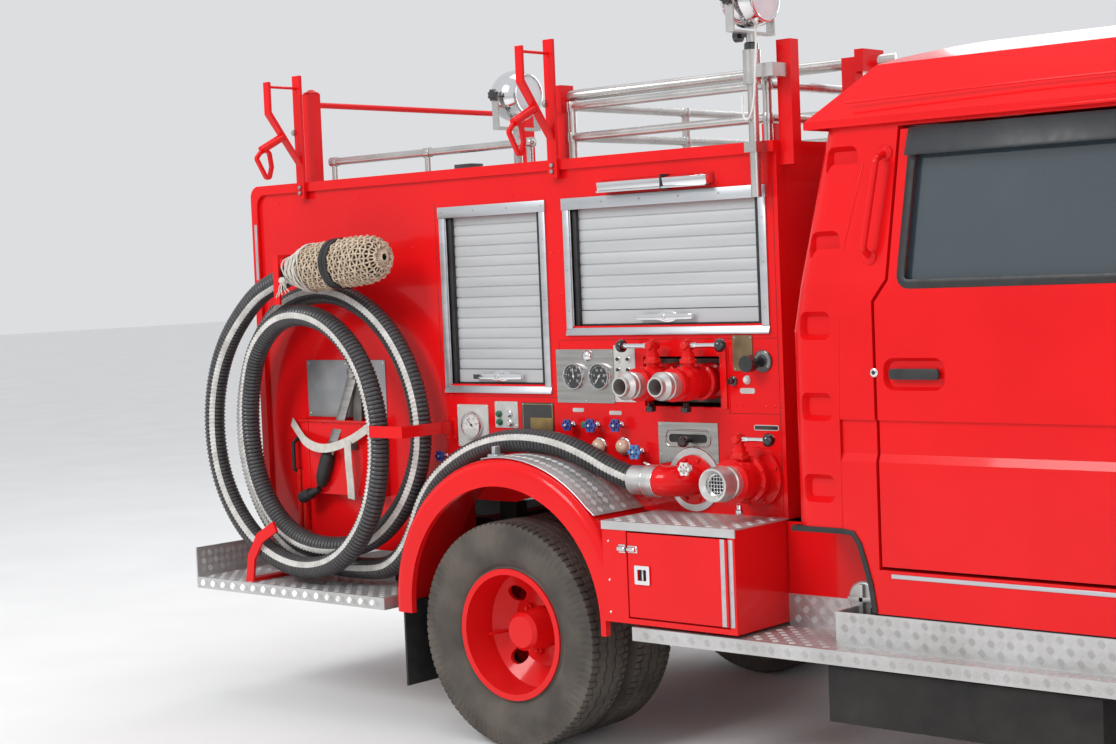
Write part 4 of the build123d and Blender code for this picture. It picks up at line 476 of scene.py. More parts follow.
# Columns: angle round the coil, distance from its middle, distance from the truck's middle
COIL_LAY = [(104, 562, HOSE_FRONT_Y), (180, 518, HOSE_FRONT_Y), (270, 497, HOSE_FRONT_Y),
            (360, 398, HOSE_FRONT_Y), (450, 453, HOSE_FRONT_Y), (540, 365, HOSE_MIDDLE_Y),
            (630, 418, HOSE_MIDDLE_Y), (675, 464, HOSE_BACK_Y), (720, 507, HOSE_BACK_Y),
            (810, 530, HOSE_BACK_Y), (900, 460, HOSE_BACK_Y), (975, 496, HOSE_BACK_Y)]
COIL_STEP = 29.0
# Where the hose lies from the coil over the fender to its sleeve: x, distance from the middle, z
HOSE_RUN = [(-740, 752, 514), (-625, 752, 560), (-545, 754, 655), (-490, 757, 770), (-405, 760, 866),
            (-280, 760, 942), (-140, 760, 992), (5, 758, 1008), (145, 753, 996), (265, 744, 956),
            (355, 737, 912)]
# Columns: share of the hose's length, degrees the white stripe stands above the side
STRIPE_DRIFT = [(0.0, -41), (0.25, -18), (0.40, 16), (0.55, 21), (0.80, 0), (0.92, -28), (1.0, -8)]


def lay(angle):
    """Coil radius and depth at an angle, eased between the rows of COIL_LAY."""
    for before, after in zip(COIL_LAY, COIL_LAY[1:]):
        if angle <= after[0]:
            share = (angle - before[0]) / (after[0] - before[0])
            ease = (1 - math.cos(math.pi * share)) / 2
            return [a + (b - a) * ease for a, b in zip(before[1:], after[1:])]
    return COIL_LAY[-1][1:]


def hose_route():
    """The hose's route from the strainer end to the inlet sleeve."""
    points = [(STRAINER_END[0] + 12, -HOSE_FRONT_Y, STRAINER_END[1] + 2),
              (STRAINER_END[0] - 75, -HOSE_FRONT_Y, STRAINER_END[1] - 22)]
    turns = round((COIL_LAY[-1][0] - 116) / COIL_STEP)
    for i in range(turns + 1):
        angle = 116 + i * (COIL_LAY[-1][0] - 116) / turns
        radius, depth = lay(angle)
        turn = math.radians(angle)
        points.append((COIL[0] + radius * math.cos(turn), -depth, COIL[1] + radius * math.sin(turn)))
    points += [(x, -depth, z) for x, depth, z in HOSE_RUN]
    points.append((SLEEVE_BACK_X + 12, -SUCTION_HOSE_Y, SUCTION[1] - 2))
    return points


def even(line, step):
    """The line's points again, evenly spaced."""
    lengths = [0.0]
    for a, b in zip(line, line[1:]):
        lengths.append(lengths[-1] + (b - a).length)
    count = max(2, round(lengths[-1] / step))
    result = []
    place_on = 0
    for i in range(count + 1):
        goal = lengths[-1] * i / count
        while place_on < len(line) - 2 and lengths[place_on + 1] < goal:
            place_on += 1
        run = lengths[place_on + 1] - lengths[place_on]
        share = (goal - lengths[place_on]) / run if run else 0
        result.append(line[place_on].lerp(line[place_on + 1], min(1, share)))
    return result


def stripe_turn(share):
    """The stripe's angle at a share of the hose's length."""
    for (a, low), (b, high) in zip(STRIPE_DRIFT, STRIPE_DRIFT[1:]):
        if share <= b:
            return math.radians(low + (high - low) * (share - a) / (b - a))
    return math.radians(STRIPE_DRIFT[-1][1])


def ribbed_hose():
    """The suction hose with moulded ribs and its white stripe, on both sides."""
    sides = 22
    line = even(smooth_line(hose_route()), RIB_PITCH / 4)
    shape = Shape()
    for i, point in enumerate(line):
        ahead = heading(line, i)
        out = Vector((0, -1, 0))
        out = (out - ahead * ahead.dot(out)).normalized()
        other = ahead.cross(out)
        radius = HOSE_R - (HOSE_GROOVE if i % 4 in (2, 3) else 0)
        drift = stripe_turn(i / (len(line) - 1))
        shape.points += [point + (out * math.cos(t + drift) + other * math.sin(t + drift)) * radius
                         for t in around(sides)]
    shape.faces = [list(face) for face in ring_faces(len(line), sides, caps=False)]
    # The stripe's faces take the white stripe, the groove bottoms take the near-black painted shade and the
    # rest take the rib colour with its painted sheen.
    shape.numbers = [1 if k in (sides - 1, 0) else (2 if row % 4 == 2 else 0)
                     for row in range(len(line) - 1) for k in range(sides)]
    shape.sides("suction_hose", "truck", "hose_rubber", [HOSE_RIB_DUST_AND_SHEEN, STRIPE, SHADE_BLACK], ["suction_hoses"],
                smooth=70)


# Columns: place along the basket, radius there
BASKET_FORM = [(0, 46), (40, 60), (90, 80), (170, 84), (250, 85), (330, 85), (400, 82), (440, 70), (462, 48),
               (474, 18)]


def basket_radius(along):
    """The basket's radius at a place along it."""
    for (a, r), (b, s) in zip(BASKET_FORM, BASKET_FORM[1:]):
        if along <= b:
            share = (along - a) / (b - a)
            return r + (s - r) * share
    return BASKET_FORM[-1][1]


def woven_basket():
    """Strainer basket of cane: stakes along it and weavers that pass over and under them."""
    stakes = 24
    lean = math.radians(4)
    shape = Shape()

    def at(along, angle, radius):
        across, rise = radius * math.cos(angle), radius * math.sin(angle)
        x = STRAINER_END[0] + 2 + along * math.cos(lean) - rise * math.sin(lean)
        z = STRAINER_END[1] + 6 + rise * math.cos(lean) + along * math.sin(lean)
        return Vector((x, -HOSE_FRONT_Y + across, z))

    for angle in around(stakes):
        shape.tube([at(a, angle, basket_radius(a) - 5) for a in range(6, 474, 26)] + [at(472, angle, 12)],
                   3.0, 5)
    rows = 34
    for row in range(rows):
        along = 12 + row * 452 / (rows - 1)
        radius = basket_radius(along)
        thick = 3.6 if row % 3 else 4.2
        ring = []
        steps = stakes * 2
        for i in range(steps + 1):
            angle = 2 * math.pi * i / steps
            swell = 0 if i % 2 else (4.6 if row % 2 else -4.6) * (1 if i % 4 else -1)
            ring.append(at(along + 1.6 * math.sin(angle * 3 + row), angle, radius - 4 + swell))
        shape.tube(ring, thick, 5)
    # A near-black core inside the basket: painted shade that shows through the gaps of the weave.
    shape.number = 1
    core = [(0, 38), (30, 48), (80, 66), (390, 70), (430, 54), (452, 26)]
    shape.turn(at(8, 0, 0), at(400, 0, 0) - at(8, 0, 0), core, 24)
    shape.piece("strainer_basket", "truck", "wicker", [WICKER, SHADE_BLACK], replaces=["strainer_baskets"],
                smooth=60, mirror=True)


def basket_net():
    """White cord netting tied round the basket's hose end."""
    shape = Shape()
    chance = random.Random(7)
    centre = Vector((STRAINER_END[0] + 2, -HOSE_FRONT_Y, STRAINER_END[1] + 6))
    for band in range(16):
        x0 = -4 + band * 7.5
        line = []
        for i in range(25):
            angle = 2 * math.pi * i / 24
            x = x0 + 12 * math.sin(angle * 2 + band * 1.3) + chance.uniform(-2, 2)
            radius = basket_radius(max(0, x)) + 5.0
            line.append(centre + Vector((x, radius * math.cos(angle), radius * math.sin(angle) + x * 0.07)))
        shape.tube(line, 2.8, 5)
    knot = centre + Vector((8, -66, -34))
    shape.ball(knot, 13, 12, 8, (1.3, 0.8, 1.0))
    for swing in range(5):
        drop = [knot]
        for step in range(1, 7):
            x = (swing - 2) * 5.5 * step / 2 + chance.uniform(-3, 3)
            y = -2 + chance.uniform(-2, 2)
            drop.append(knot + Vector((x, y, -10.0 * step * (1 - 0.08 * swing))))
        shape.tube(drop, 2.2, 5)
    shape.piece("basket_cord", "truck", "wicker", [CLOTH], mirror=True)


# Wheels

# Columns: distance from the tyre's middle as a share of its half width, radius
TYRE_SIDE = [(0.62, 212), (0.70, 219), (0.66, 226), (0.80, 240), (0.93, 262), (0.985, 285), (1.0, 300),
             (0.985, 318), (0.955, 334), (0.935, 340)]
# Columns: place across the tread as a share, depth below the crown, how far it follows the zigzag
TREAD_LINES = [(0.90, 4.5, 0), (0.80, 1.0, 0), (0.70, 0.6, 0), (0.665, 0.6, 1), (0.655, 8.0, 1),
               (0.60, 8.0, 1), (0.59, 0.3, 1), (0.26, 0.0, 1), (0.25, 8.0, 1), (0.19, 8.0, 1),
               (0.18, 0.0, 1), (0.0, 0.0, 1)]
TREAD_PITCHES = 96
HALF_TYRE_W = 98.0


def tyre_rings(shape, middle, x):
    """A tyre with sidewall steps, a zigzag tread and notched shoulders, round the axle line at x."""
    side = [(share, radius, 0) for share, radius in TYRE_SIDE]
    tread = [(share, TYRE_R - depth, zig) for share, depth, zig in TREAD_LINES]
    half = side + tread
    lines = [(-share, radius, follow) for share, radius, follow in half] + half[-2::-1]
    shoulder = len(side) - 2
    points = []
    for pitch in range(TREAD_PITCHES):
        for part, sunk in ((0.0, 0), (0.70, 0), (0.76, 1), (0.94, 1)):
            angle = 2 * math.pi * (pitch + part) / TREAD_PITCHES
            zig = 5.0 * (1 if (pitch + (part > 0.5)) % 2 else -1) * (1 if 0.1 < part < 0.9 else -1)
            for i, (share, radius, follow) in enumerate(lines):
                edge = abs(share) > 0.66 and shoulder <= i < len(lines) - shoulder
                deep = 5.0 if sunk and edge else (2.2 if sunk and 0.26 < abs(share) < 0.6 else 0)
                y = middle + share * HALF_TYRE_W + follow * zig * (0.6 if abs(share) < 0.3 else 1)
                reach = radius - deep
                points.append((x + reach * math.sin(angle), -y, TYRE_R + reach * math.cos(angle)))
    shape.add(points, ring_faces(4 * TREAD_PITCHES, len(lines), caps=False, closed=True))


# Columns: piece, its wheel, the node it replaces, distance of its middle from the truck's, x of its axle
TYRES = [("rear_tyre_outer", "rear_wheel", "rear_tyres", DUAL_Y, 0),
         ("rear_tyre_inner", "rear_wheel", "rear_tyres", DUAL_Y - DUAL_PITCH, 0),
         ("front_tyre_detail", "front_wheel", "front_tyre", FRONT_TRACK_Y, WHEELBASE)]


def tyres():
    """Every tyre in place of its plain ring."""
    for name, wheel, node, middle, x in TYRES:
        shape = Shape()
        tyre_rings(shape, middle, x)
        shape.sides(name, wheel, "tyre", [TYRE], [node], smooth=50)


def nut_circle(shape, x, y, radius, first, long):
    """Six wheel nuts with their studs round an axle line."""
    for i in range(6):
        angle = math.radians(60 * i + first)
        foot = (x + radius * math.cos(angle), -y, TYRE_R + radius * math.sin(angle))
        shape.turn(foot, (0, -1, 0), [(0, 17), (20, 17), (24, 13)], 6)
        shape.turn(foot, (0, -1, 0), [(0, 10), (long, 10), (long + 4, 7)], 12)


def wheel_nuts():
    """Nuts, studs and small bolts of the hubs, and the valve stems."""
    shape = Shape()
    nut_circle(shape, 0, DUAL_Y - 105, 84, 15, 32)
    for i in range(8):
        angle = math.radians(45 * i)
        shape.stud(52 * math.cos(angle), TYRE_R + 52 * math.sin(angle), [(0, 7.5), (7, 7.5)], 6, DUAL_Y + 9)
    x, z = 150 * math.cos(math.radians(190)), TYRE_R + 150 * math.sin(math.radians(190))
    shape.rod((x, -(DUAL_Y - 90), z), (x - 18, -(DUAL_Y - 5), z), 4.5, 10)
    shape.sides("rear_nuts", "rear_wheel", "red_paint", [RED_METAL], bevel=1.0)
    shape = Shape()
    nut_circle(shape, WHEELBASE, FRONT_TRACK_Y + 50, 96, 0, 30)
    shape.sides("front_nuts", "front_wheel", "red_paint", [RED_METAL], bevel=1.0)


# Tread plate

LUG_PITCH = 29.0


def tread_lugs(shape, corner, along, across, length, width):
    """Groups of five thin raised bars that turn by a quarter from square to square over a flat field."""
    along, across = Vector(along), Vector(across)
    normal = along.cross(across)
    corner = Vector(corner)
    columns, rows = max(1, int(length // LUG_PITCH)), max(1, int(width // LUG_PITCH))
    margin_a = (length - columns * LUG_PITCH) / 2
    margin_b = (width - rows * LUG_PITCH) / 2
    for i in range(columns):
        for j in range(rows):
            middle = corner + along * (margin_a + (i + 0.5) * LUG_PITCH)
            middle += across * (margin_b + (j + 0.5) * LUG_PITCH)
            way = (along + across * (1 if (i + j) % 2 else -1)).normalized()
            side = normal.cross(way)
            for bar in range(-2, 3):
                half = 11.5 - 1.2 * abs(bar)
                start = middle + side * bar * 4.6
                corners = [(-half, -1.5), (-half, 1.5), (half, 1.5), (half, -1.5)]
                foot = [start + way * a + side * b for a, b in corners]
                ridge = [start + way * a + normal * 1.3 for a in (3 - half, half - 3)]
                shape.add(foot + ridge, [(0, 4, 5, 3), (1, 2, 5, 4), (0, 1, 4), (2, 3, 5)])


BOARD_TOP = 460.0
BOARD_LIP = 418.0
KICK_TOP = 556.0
BOX_REAR, BOX_FRONT, BOX_TOP = 460.0, 966.0, 780.0
REAR_STEP_END, STEP_FRONT, BOARD_FRONT = -1560.0, -536.0, 2330.0
PLATE_EDGE = 5.0
CAB_BOARD_REAR = 1272.0
BOARD_LIP_REAR = 570.0
REAR_STEP_INNER = 430.0
REAR_WALL_TOP = 571.0


def lug_fields():
    """Raised bars on running boards, kick plates, rear steps and box tops."""
    x, y, z = (1, 0, 0), (0, 1, 0), (0, 0, 1)
    e = PLATE_EDGE
    shape = Shape()
    tread_lugs(shape, (BOX_FRONT + e, -OUTER_HALF + e, BOARD_TOP), x, y, 300, OUTER_HALF - BODY_HALF - 12 - e)
    tread_lugs(shape, (CAB_BOARD_REAR, -OUTER_HALF + e, BOARD_TOP), x, y, BOARD_FRONT - CAB_BOARD_REAR - e,
               OUTER_HALF - CAB_HALF - 12)
    tread_lugs(shape, (BOARD_LIP_REAR, -OUTER_HALF, BOARD_LIP), x, z, BOARD_FRONT - BOARD_LIP_REAR - e,
               BOARD_TOP - BOARD_LIP)
    tread_lugs(shape, (CAB_BOARD_REAR, -CAB_HALF - 6, BOARD_TOP + e), x, z, BOARD_FRONT - CAB_BOARD_REAR - e,
               KICK_TOP - BOARD_TOP - e)
    tread_lugs(shape, (BOX_FRONT + e, -BODY_HALF - 6, BOARD_TOP + e), x, z, 285, KICK_TOP - BOARD_TOP - e)
    tread_lugs(shape, (1260, -BODY_HALF - 10, BOARD_TOP + e), (0, -1, 0), z, 180, KICK_TOP - BOARD_TOP - e)
    shape.piece("board_tread", "truck", "tread_plate", [TREAD], smooth=20, mirror=True)
    shape = Shape()
    tread_lugs(shape, (BOX_REAR + e, -OUTER_HALF, BOX_TOP + 4), x, y, BOX_FRONT - BOX_REAR - e,
               OUTER_HALF - BODY_HALF - e)
    tread_lugs(shape, (REAR_STEP_END + e, -OUTER_HALF + e, BOARD_TOP), x, y,
               STEP_FRONT - REAR_STEP_END - 2 * e, OUTER_HALF - BODY_HALF - 2 * e)
    tread_lugs(shape, (REAR_STEP_END + e, -OUTER_HALF, BOARD_LIP), x, z, STEP_FRONT - REAR_STEP_END - 2 * e,
               BOARD_TOP - BOARD_LIP)
    tread_lugs(shape, (REAR_STEP_END, -REAR_STEP_INNER - e, BOARD_LIP), (0, -1, 0), z,
               OUTER_HALF - REAR_STEP_INNER - 2 * e, REAR_WALL_TOP - BOARD_LIP)
    tread_lugs(shape, (REAR_STEP_END + 6, -OUTER_HALF + e, BOARD_TOP + e), y, z,
               OUTER_HALF - REAR_STEP_INNER - 2 * e, REAR_WALL_TOP - BOARD_TOP - 2 * e)
    shape.piece("step_tread", "truck", "tread_plate", [TREAD], smooth=20, mirror=True)


# Small forms on the side panels, built on the right and mirrored

def rounded(points, radius, steps=4):
    """A closed outline with every corner rounded."""
    result = []
    for i, corner in enumerate(points):
        corner = Vector(corner)
        before, after = Vector(points[i - 1]) - corner, Vector(points[(i + 1) % len(points)]) - corner
        reach = min(radius, 0.45 * before.length, 0.45 * after.length)
        start, end = corner + before.normalized() * reach, corner + after.normalized() * reach
        for k in range(steps + 1):
            t = k / steps
            result.append(start * (1 - t) ** 2 + corner * 2 * t * (1 - t) + end * t ** 2)
    return result


def rectangle(x0, x1, z0, z1, radius):
    """A rounded rectangle's outline."""
    return rounded([(x0, z0), (x1, z0), (x1, z1), (x0, z1)], radius)


def ring_line(x, z, radius, sides):
    """A circle's outline."""
    return [Vector((x + radius * math.cos(t), z + radius * math.sin(t))) for t in around(sides)]


def slot_line(x, z, length, width):
    """A slot's outline."""
    return rectangle(x - length / 2, x + length / 2, z - width / 2, z + width / 2, width / 2)


def sheet(shape, outline, holes, base, thick):
    """A flat plate on the right side with holes; base is its back's distance from the middle."""
    curve = bpy.data.curves.new("sheet", "CURVE")
    curve.dimensions = "2D"
    curve.fill_mode = "BOTH"
    curve.extrude = thick / 2
    for line in [outline] + holes:
        spline = curve.splines.new("POLY")
        spline.points.add(len(line) - 1)
        for knot, (a, b) in zip(spline.points, line):
            knot.co = (a, b, 0, 1)
        spline.use_cyclic_u = True
    points, faces = baked(curve)
    shape.add([(p.x, -(base + thick / 2 + p.z), p.y) for p in points], faces)


def figure(shape, text, size, centre, right, up, out):
    """Flat numerals centred at a point."""
    curve = bpy.data.curves.new("figure", "FONT")
    curve.body = text
    curve.size = size
    curve.align_x = "CENTER"
    curve.align_y = "CENTER"
    curve.resolution_u = 2
    points, faces = baked(curve)
    shape.add([Vector(centre) + Vector(right) * p.x + Vector(up) * p.y + Vector(out) * 0.3 for p in points],
              faces)


def screw(shape, x, z, base, radius=3.4):
    """A domed screw head on the right side."""
    shape.stud(x, z, [(-0.5, radius), (0.8, radius), (1.8, radius * 0.5)], 8, base)


def bolt(shape, where, way, radius, height):
    """A hexagon bolt head."""
    shape.turn(where, way, [(-1, radius), (height - 1.5, radius), (height, radius * 0.85)], 6)


def bolt_circle(shape, x, z, base, circle, count, radius, height):
    """Bolt heads in a circle on the right side."""
    for i in range(count):
        angle = 2 * math.pi * (i + 0.5) / count
        bolt(shape, (x + circle * math.cos(angle), -base, z + circle * math.sin(angle)), (0, -1, 0), radius,
             height)


# Shutters

SHUTTERS = [(-458.0, 36.0, 1151.0, 1793.0), (115.0, 928.0, 1345.0, 1793.0)]
SHUTTER_FRAME = 30.0
SHUTTER_FACE = BODY_HALF - 22
SLAT_PITCH = 36.0
BOTTOM_RAIL = 50.0


def slat_curtain(shape, x0, x1, z0, z1):
    """Shallow bowed slats one above the other over a plain bottom rail."""
    low = z0 + BOTTOM_RAIL
    count = round((z1 - low) / SLAT_PITCH)
    pitch = (z1 - low) / count
    outline = []
    for i in range(count):
        z = low + i * pitch
        outline += [(-SHUTTER_FACE + 4, z + 0.6), (-SHUTTER_FACE + 0.8, z + 2.4),
                    (-SHUTTER_FACE - 0.4, z + 8), (-SHUTTER_FACE - 0.8, z + pitch / 2),
                    (-SHUTTER_FACE - 0.2, z + pitch - 8), (-SHUTTER_FACE + 1.0, z + pitch - 2.4),
                    (-SHUTTER_FACE + 4, z + pitch - 0.6)]
    outline += [(-SHUTTER_FACE + 9, z1), (-SHUTTER_FACE + 9, low)]
    shape.prism(outline, x0, x1, axis="x")
    shape.box(x0, x1, -SHUTTER_FACE - 2, -SHUTTER_FACE + 8, z0, low - 1)


def shutter_frame(shape, x0, x1, z0, z1):
    """A frame of channels and a sill with rubber seals and screws."""
    wide = SHUTTER_FRAME
    shape.number = 0
    shape.box(x0 - 3, x1 + 3, -BODY_HALF - 8, -BODY_HALF, z1 - wide - 6, z1 + 2)
    for a, b in ((x0, x0 + 26), (x1 - 26, x1)):
        shape.box(a, b, -BODY_HALF - 6, -BODY_HALF, z0 + 22, z1 - wide - 6.3)
    for a, b in ((x0 + 26, x0 + wide), (x1 - wide, x1 - 26)):
        shape.box(a, b, -BODY_HALF - 2, -SHUTTER_FACE + 6, z0 + wide, z1 - wide)
    shape.prism([(-BODY_HALF, z0), (-BODY_HALF - 10, z0), (-BODY_HALF - 10, z0 + 5),
                 (-BODY_HALF - 3, z0 + 24), (-SHUTTER_FACE, z0 + 27), (-SHUTTER_FACE, z0 + 22),
                 (-BODY_HALF, z0 + 18)], x0 - 1, x1 + 1, "x")
    shape.number = 1
    for a, b in ((x0 + wide, x0 + wide + 17), (x1 - wide - 17, x1 - wide)):
        shape.box(a, b, -SHUTTER_FACE - 15, -SHUTTER_FACE - 1, z0 + wide, z1 - wide)
    low = z0 + wide
    shape.box(x0 + wide + 17.3, x1 - wide - 17.3, -SHUTTER_FACE - 8, -SHUTTER_FACE, low, low + 6)
    shape.number = 2
    count = 4 if x1 - x0 < 600 else 6
    for i in range(count):
        screw(shape, x0 + 14 + i * (x1 - x0 - 28) / (count - 1), z1 - 15, BODY_HALF + 8)
    for x in (x0 + 13, x1 - 13):
        for share in (0.15, 0.5, 0.85):
            screw(shape, x, z0 + 22 + share * (z1 - z0 - 60), BODY_HALF + 6, 2.6)


# A shutter's bar handle: half of its outline as (along, up), the rest is its mirror image
BAR_SIDE = [(-112, -8), (-112, 8), (-70, 9), (-24, 10), (0, 14), (24, 10), (70, 9)]


def shutter_bar(shape, middle, z):
    """A shaped bar handle with its lock, feet and the oval plate behind it."""
    outline = BAR_SIDE + [(-a, -b) for a, b in BAR_SIDE]
    shape.prism([(middle + a, z + b) for a, b in outline], -BODY_HALF + 6, -BODY_HALF - 5)
    shape.stud(middle, z, [(0, 9), (3, 9), (4.5, 7)], 20, BODY_HALF + 4)
    for x in (middle - 98, middle, middle + 98):
        shape.box(x - 8, x + 8, -BODY_HALF + 6, -SHUTTER_FACE - 1, z - 7, z + 7)
    shape.prism([(middle + 40 * math.cos(t), z + 19 * math.sin(t)) for t in around(28)],
                -SHUTTER_FACE - 1, -SHUTTER_FACE - 6)


def shutters():
    """Roller shutters with their frames and bar handles."""
    curtains, frames, bars = Shape(), Shape(), Shape()
    wide = SHUTTER_FRAME
    for x0, x1, z0, z1 in SHUTTERS:
        slat_curtain(curtains, x0 + wide, x1 - wide, z0 + wide, z1 - wide)
        shutter_frame(frames, x0, x1, z0, z1)
        shutter_bar(bars, (x0 + x1) / 2, z0 + wide + 26)
    look = {"body": "truck", "slot": "shutter_aluminium", "replaces": ["shutters"], "mirror": True}
    curtains.piece("shutter_slats", finishes=[SLAT], smooth=32, **look)
    frames.piece("shutter_frames", finishes=[ALU, RUBBER, STEEL], bevel=1.0, **look)
    bars.piece("shutter_handles", finishes=[CHROME], bevel=2.0, **look)


# Pump panel

PANEL_T = 3.0
# Columns: x from, x to, z from, z to, finish number, inset of the corner screws
PLATE_ROWS = [(-1186, -764, 1054, 1264, 0, 12), (60, 307, 1123, 1299, 1, 8), (309, 397, 1128, 1312, 2, 8),
              (786, 860, 1230, 1340, 3, 7), (-409, -262, 964, 1110, 2, 8), (-229, -123, 1033, 1123, 2, 8),
              (-104, 39, 1013, 1121, 4, 6)]
# The suction plate's x from, x to, z from, z to, and its slot's x, z, length and width
SUCTION_PLATE = (482.0, 718.0, 933.0, 1067.0)
SLOT = (600.0, 1017.0, 150.0, 26.0)
RING_R = 100.0
# Columns: x, z, width, height, finish number; small blank labels
LABELS = [(306, 1092, 52, 13, 2), (147, 1099, 48, 13, 2), (901, 1057, 92, 17, 4), (835, 1169, 56, 17, 2),
          (735, 1288, 52, 15, 4), (484, 1288, 34, 15, 4), (610, 976, 62, 13, 4)]


def plate_screws(shape, xs, zs):
    """Screws on the pump panel's plates at every pair of places."""
    for x in xs:
        for z in zs:
            screw(shape, x, z, BODY_HALF + PANEL_T, 2.8)


def suction_plate(shape):
    """The plate over the suction ring with its slot, the slot's bead and its screws."""
    x0, x1, z0, z1 = SUCTION_PLATE
    x, z, length, width = SLOT
    middle_x, middle_z = SUCTION
    shape.number = 1
    arc = [(middle_x + (RING_R + 2) * math.cos(t), middle_z + (RING_R + 2) * math.sin(t))
           for t in (math.radians(a) for a in range(28, 153, 6))]
    sheet(shape, [(x1, z0), (x1, z1), (x0, z1), (x0, z0)] + arc[::-1], [slot_line(x, z, length, width)],
          BODY_HALF, PANEL_T)
    bead = slot_line(x, z, length + 26, width + 26) + [(x - length / 2 - 13, z)]
    shape.tube([(a, -BODY_HALF - PANEL_T, b) for a, b in bead], 3.0, 8)
    shape.number = 6
    sheet(shape, slot_line(x, z, length + 2, width + 2), [], BODY_HALF, 0.6)
    shape.number = 5
    plate_screws(shape, (x0 + 8, x1 - 8), (z1 - 8, z0 + 30))


def blank_labels(shape):
    """Small blank labels: a pale rim round a field with its own finish."""
    for x, z, wide, high, number in LABELS:
        a, b = wide / 2, high / 2
        shape.number = 2
        sheet(shape, rectangle(x - a, x + a, z - b, z + b, b), [], BODY_HALF, 1.2)
        shape.number = number
        a, b = a - 3, b - 2.5
        sheet(shape, rectangle(x - a, x + a, z - b, z + b, 4), [], BODY_HALF + 1.2, 0.4)


def plates():
    """Plates on the pump panel with their screws, the slotted suction plate and blank labels."""
    shape = Shape()
    for x0, x1, z0, z1, number, inset in PLATE_ROWS:
        shape.number = number
        sheet(shape, rectangle(x0, x1, z0, z1, 5), [], BODY_HALF, PANEL_T)
        shape.number = 5
        middle = [(x0 + x1) / 2] if x1 - x0 > 200 else []
        plate_screws(shape, [x0 + inset, x1 - inset] + middle, (z0 + inset, z1 - inset))
    suction_plate(shape)
    blank_labels(shape)
    shape.number = 7
    sheet(shape, rectangle(-66, 31, 1021, 1070, 2), [], BODY_HALF + PANEL_T, 0.5)
    sheet(shape, rectangle(-100, 35, 1017, 1117, 3), [rectangle(-97, 32, 1020, 1114, 3)],
          BODY_HALF + PANEL_T, 0.4)
    shape.piece("panel_plate_set", "truck", "panel_steel",
                [ZINC, STEEL, PALE_PLATE, BRONZE, DIAL, CHROME, RUBBER, BRASS], replaces=["panel_plates"],
                bevel=0.5, mirror=True)


# Columns: x, z, radius, distance of its foot from the body's side
DIALS = [(142, 1211, 45, PANEL_T), (252, 1211, 45, PANEL_T)]
PALE_DIAL = (-335, 1040, 47, PANEL_T)
THROTTLE = (897, 1260, 34, 0.0)
DIAL_SWEEP = (225.0, -45.0)
SIGHT_GLASSES = [(236, 982), (338, 985)]


def mark(shape, centre, right, out, angle, inner, outer, wide):
    """A thin radial mark on a dial."""
    way = Vector(right) * math.cos(angle) + Vector((0, 0, math.sin(angle)))
    side = Vector(out).cross(way) * (wide / 2)
    low, high = Vector(centre) + way * inner, Vector(centre) + way * outer
    shape.slab([low - side, low + side, high + side, high - side], Vector(out) * 0.5)


def dial(shape, x, z, radius, base, y, face, ink, needle):
    """A round gauge: chrome bezel, face, marks, plain figures and a needle; y is -1 for the right side."""
    out, right = (0, y, 0), (-y, 0, 0)
    foot = Vector((x, y * (BODY_HALF + base), z))
    shape.number = 0
    shape.turn(foot, out, [(0, radius), (11, radius), (15.5, radius - 2.5), (15.5, radius - 5),
                           (11, radius - 7), (8, radius - 7)], 40, caps=False)
    shape.number = face
    shape.turn(foot, out, [(7, radius - 6), (9, radius - 6)], 40)
    centre = foot + Vector(out) * 9
    shape.number = ink
    first, last = DIAL_SWEEP
    for i in range(26):
        angle = math.radians(first + (last - first) * i / 25)
        mark(shape, centre, right, out, angle, radius * (0.66 if i % 5 == 0 else 0.72), radius * 0.80,
             1.6 if i % 5 == 0 else 0.8)
    for i in range(6):
        angle = math.radians(first + (last - first) * i / 5)
        spot = centre + (Vector(right) * math.cos(angle) + Vector((0, 0, math.sin(angle)))) * radius * 0.48
        figure(shape, str(5 * i), radius * 0.24, spot, right, (0, 0, 1), out)
    angle = math.radians(needle)
    mark(shape, centre + Vector(out) * 1.5, right, out, angle, -radius * 0.2, radius * 0.62, 2.2)
    shape.turn(centre, out, [(0, 4), (3, 4)], 12)


def dial_set():
    """Gauges, sight glasses, panel lamp and throttle on both sides."""
    for side, y in (("right", -1), ("left", 1)):
        shape = Shape()
        for (x, z, radius, base), needle in zip(DIALS, (95, 235)):
            dial(shape, x, z, radius, base, y, 1, 2, needle)
        x, z, radius, base = PALE_DIAL
        dial(shape, x, z, radius, base, y, 2, 1, 135)
        shape.number = 3
        foot = Vector((x, y * (BODY_HALF + base + 9), z))
        low = [(x + radius * 0.85 * math.cos(t), z + radius * 0.85 * math.sin(t))
               for t in (math.radians(a) for a in range(200, 341, 10))]
        shape.prism(low, foot.y, foot.y + y * 3)
        x, z, radius, base = THROTTLE
        foot = Vector((x, y * BODY_HALF, z))
        shape.number = 1
        shape.turn(foot, (0, y, 0), [(0, radius), (5, radius), (6.5, radius - 2)], 40)
        shape.number = 2
        for i in range(21):
            mark(shape, foot + Vector((0, y * 6.5, 0)), (-y, 0, 0), (0, y, 0), math.radians(200 - i * 12),
                 radius * 0.62, radius * 0.9, 1.2)
        shape.number = 0
        shape.turn((199, y * (BODY_HALF + PANEL_T), 1277), (0, y, 0),
                   [(0, 19), (4, 19), (10, 16), (14, 9)], 24)
        for a, b in SIGHT_GLASSES:
            shape.number = 4
            shape.ball((a, y * (BODY_HALF + 8), b), 25, 24, 12)
            shape.number = 0
            shape.turn((a, y * BODY_HALF, b), (0, y, 0), [(0, 29), (5, 29), (7, 26)], 32)
        shape.piece(f"gauge_set_{side}", "truck", "gauge_face",
                    [CHROME, DIAL, WHITE, PALE_PLATE, AMBER_GLASS], replaces=["gauges"], smooth=50)


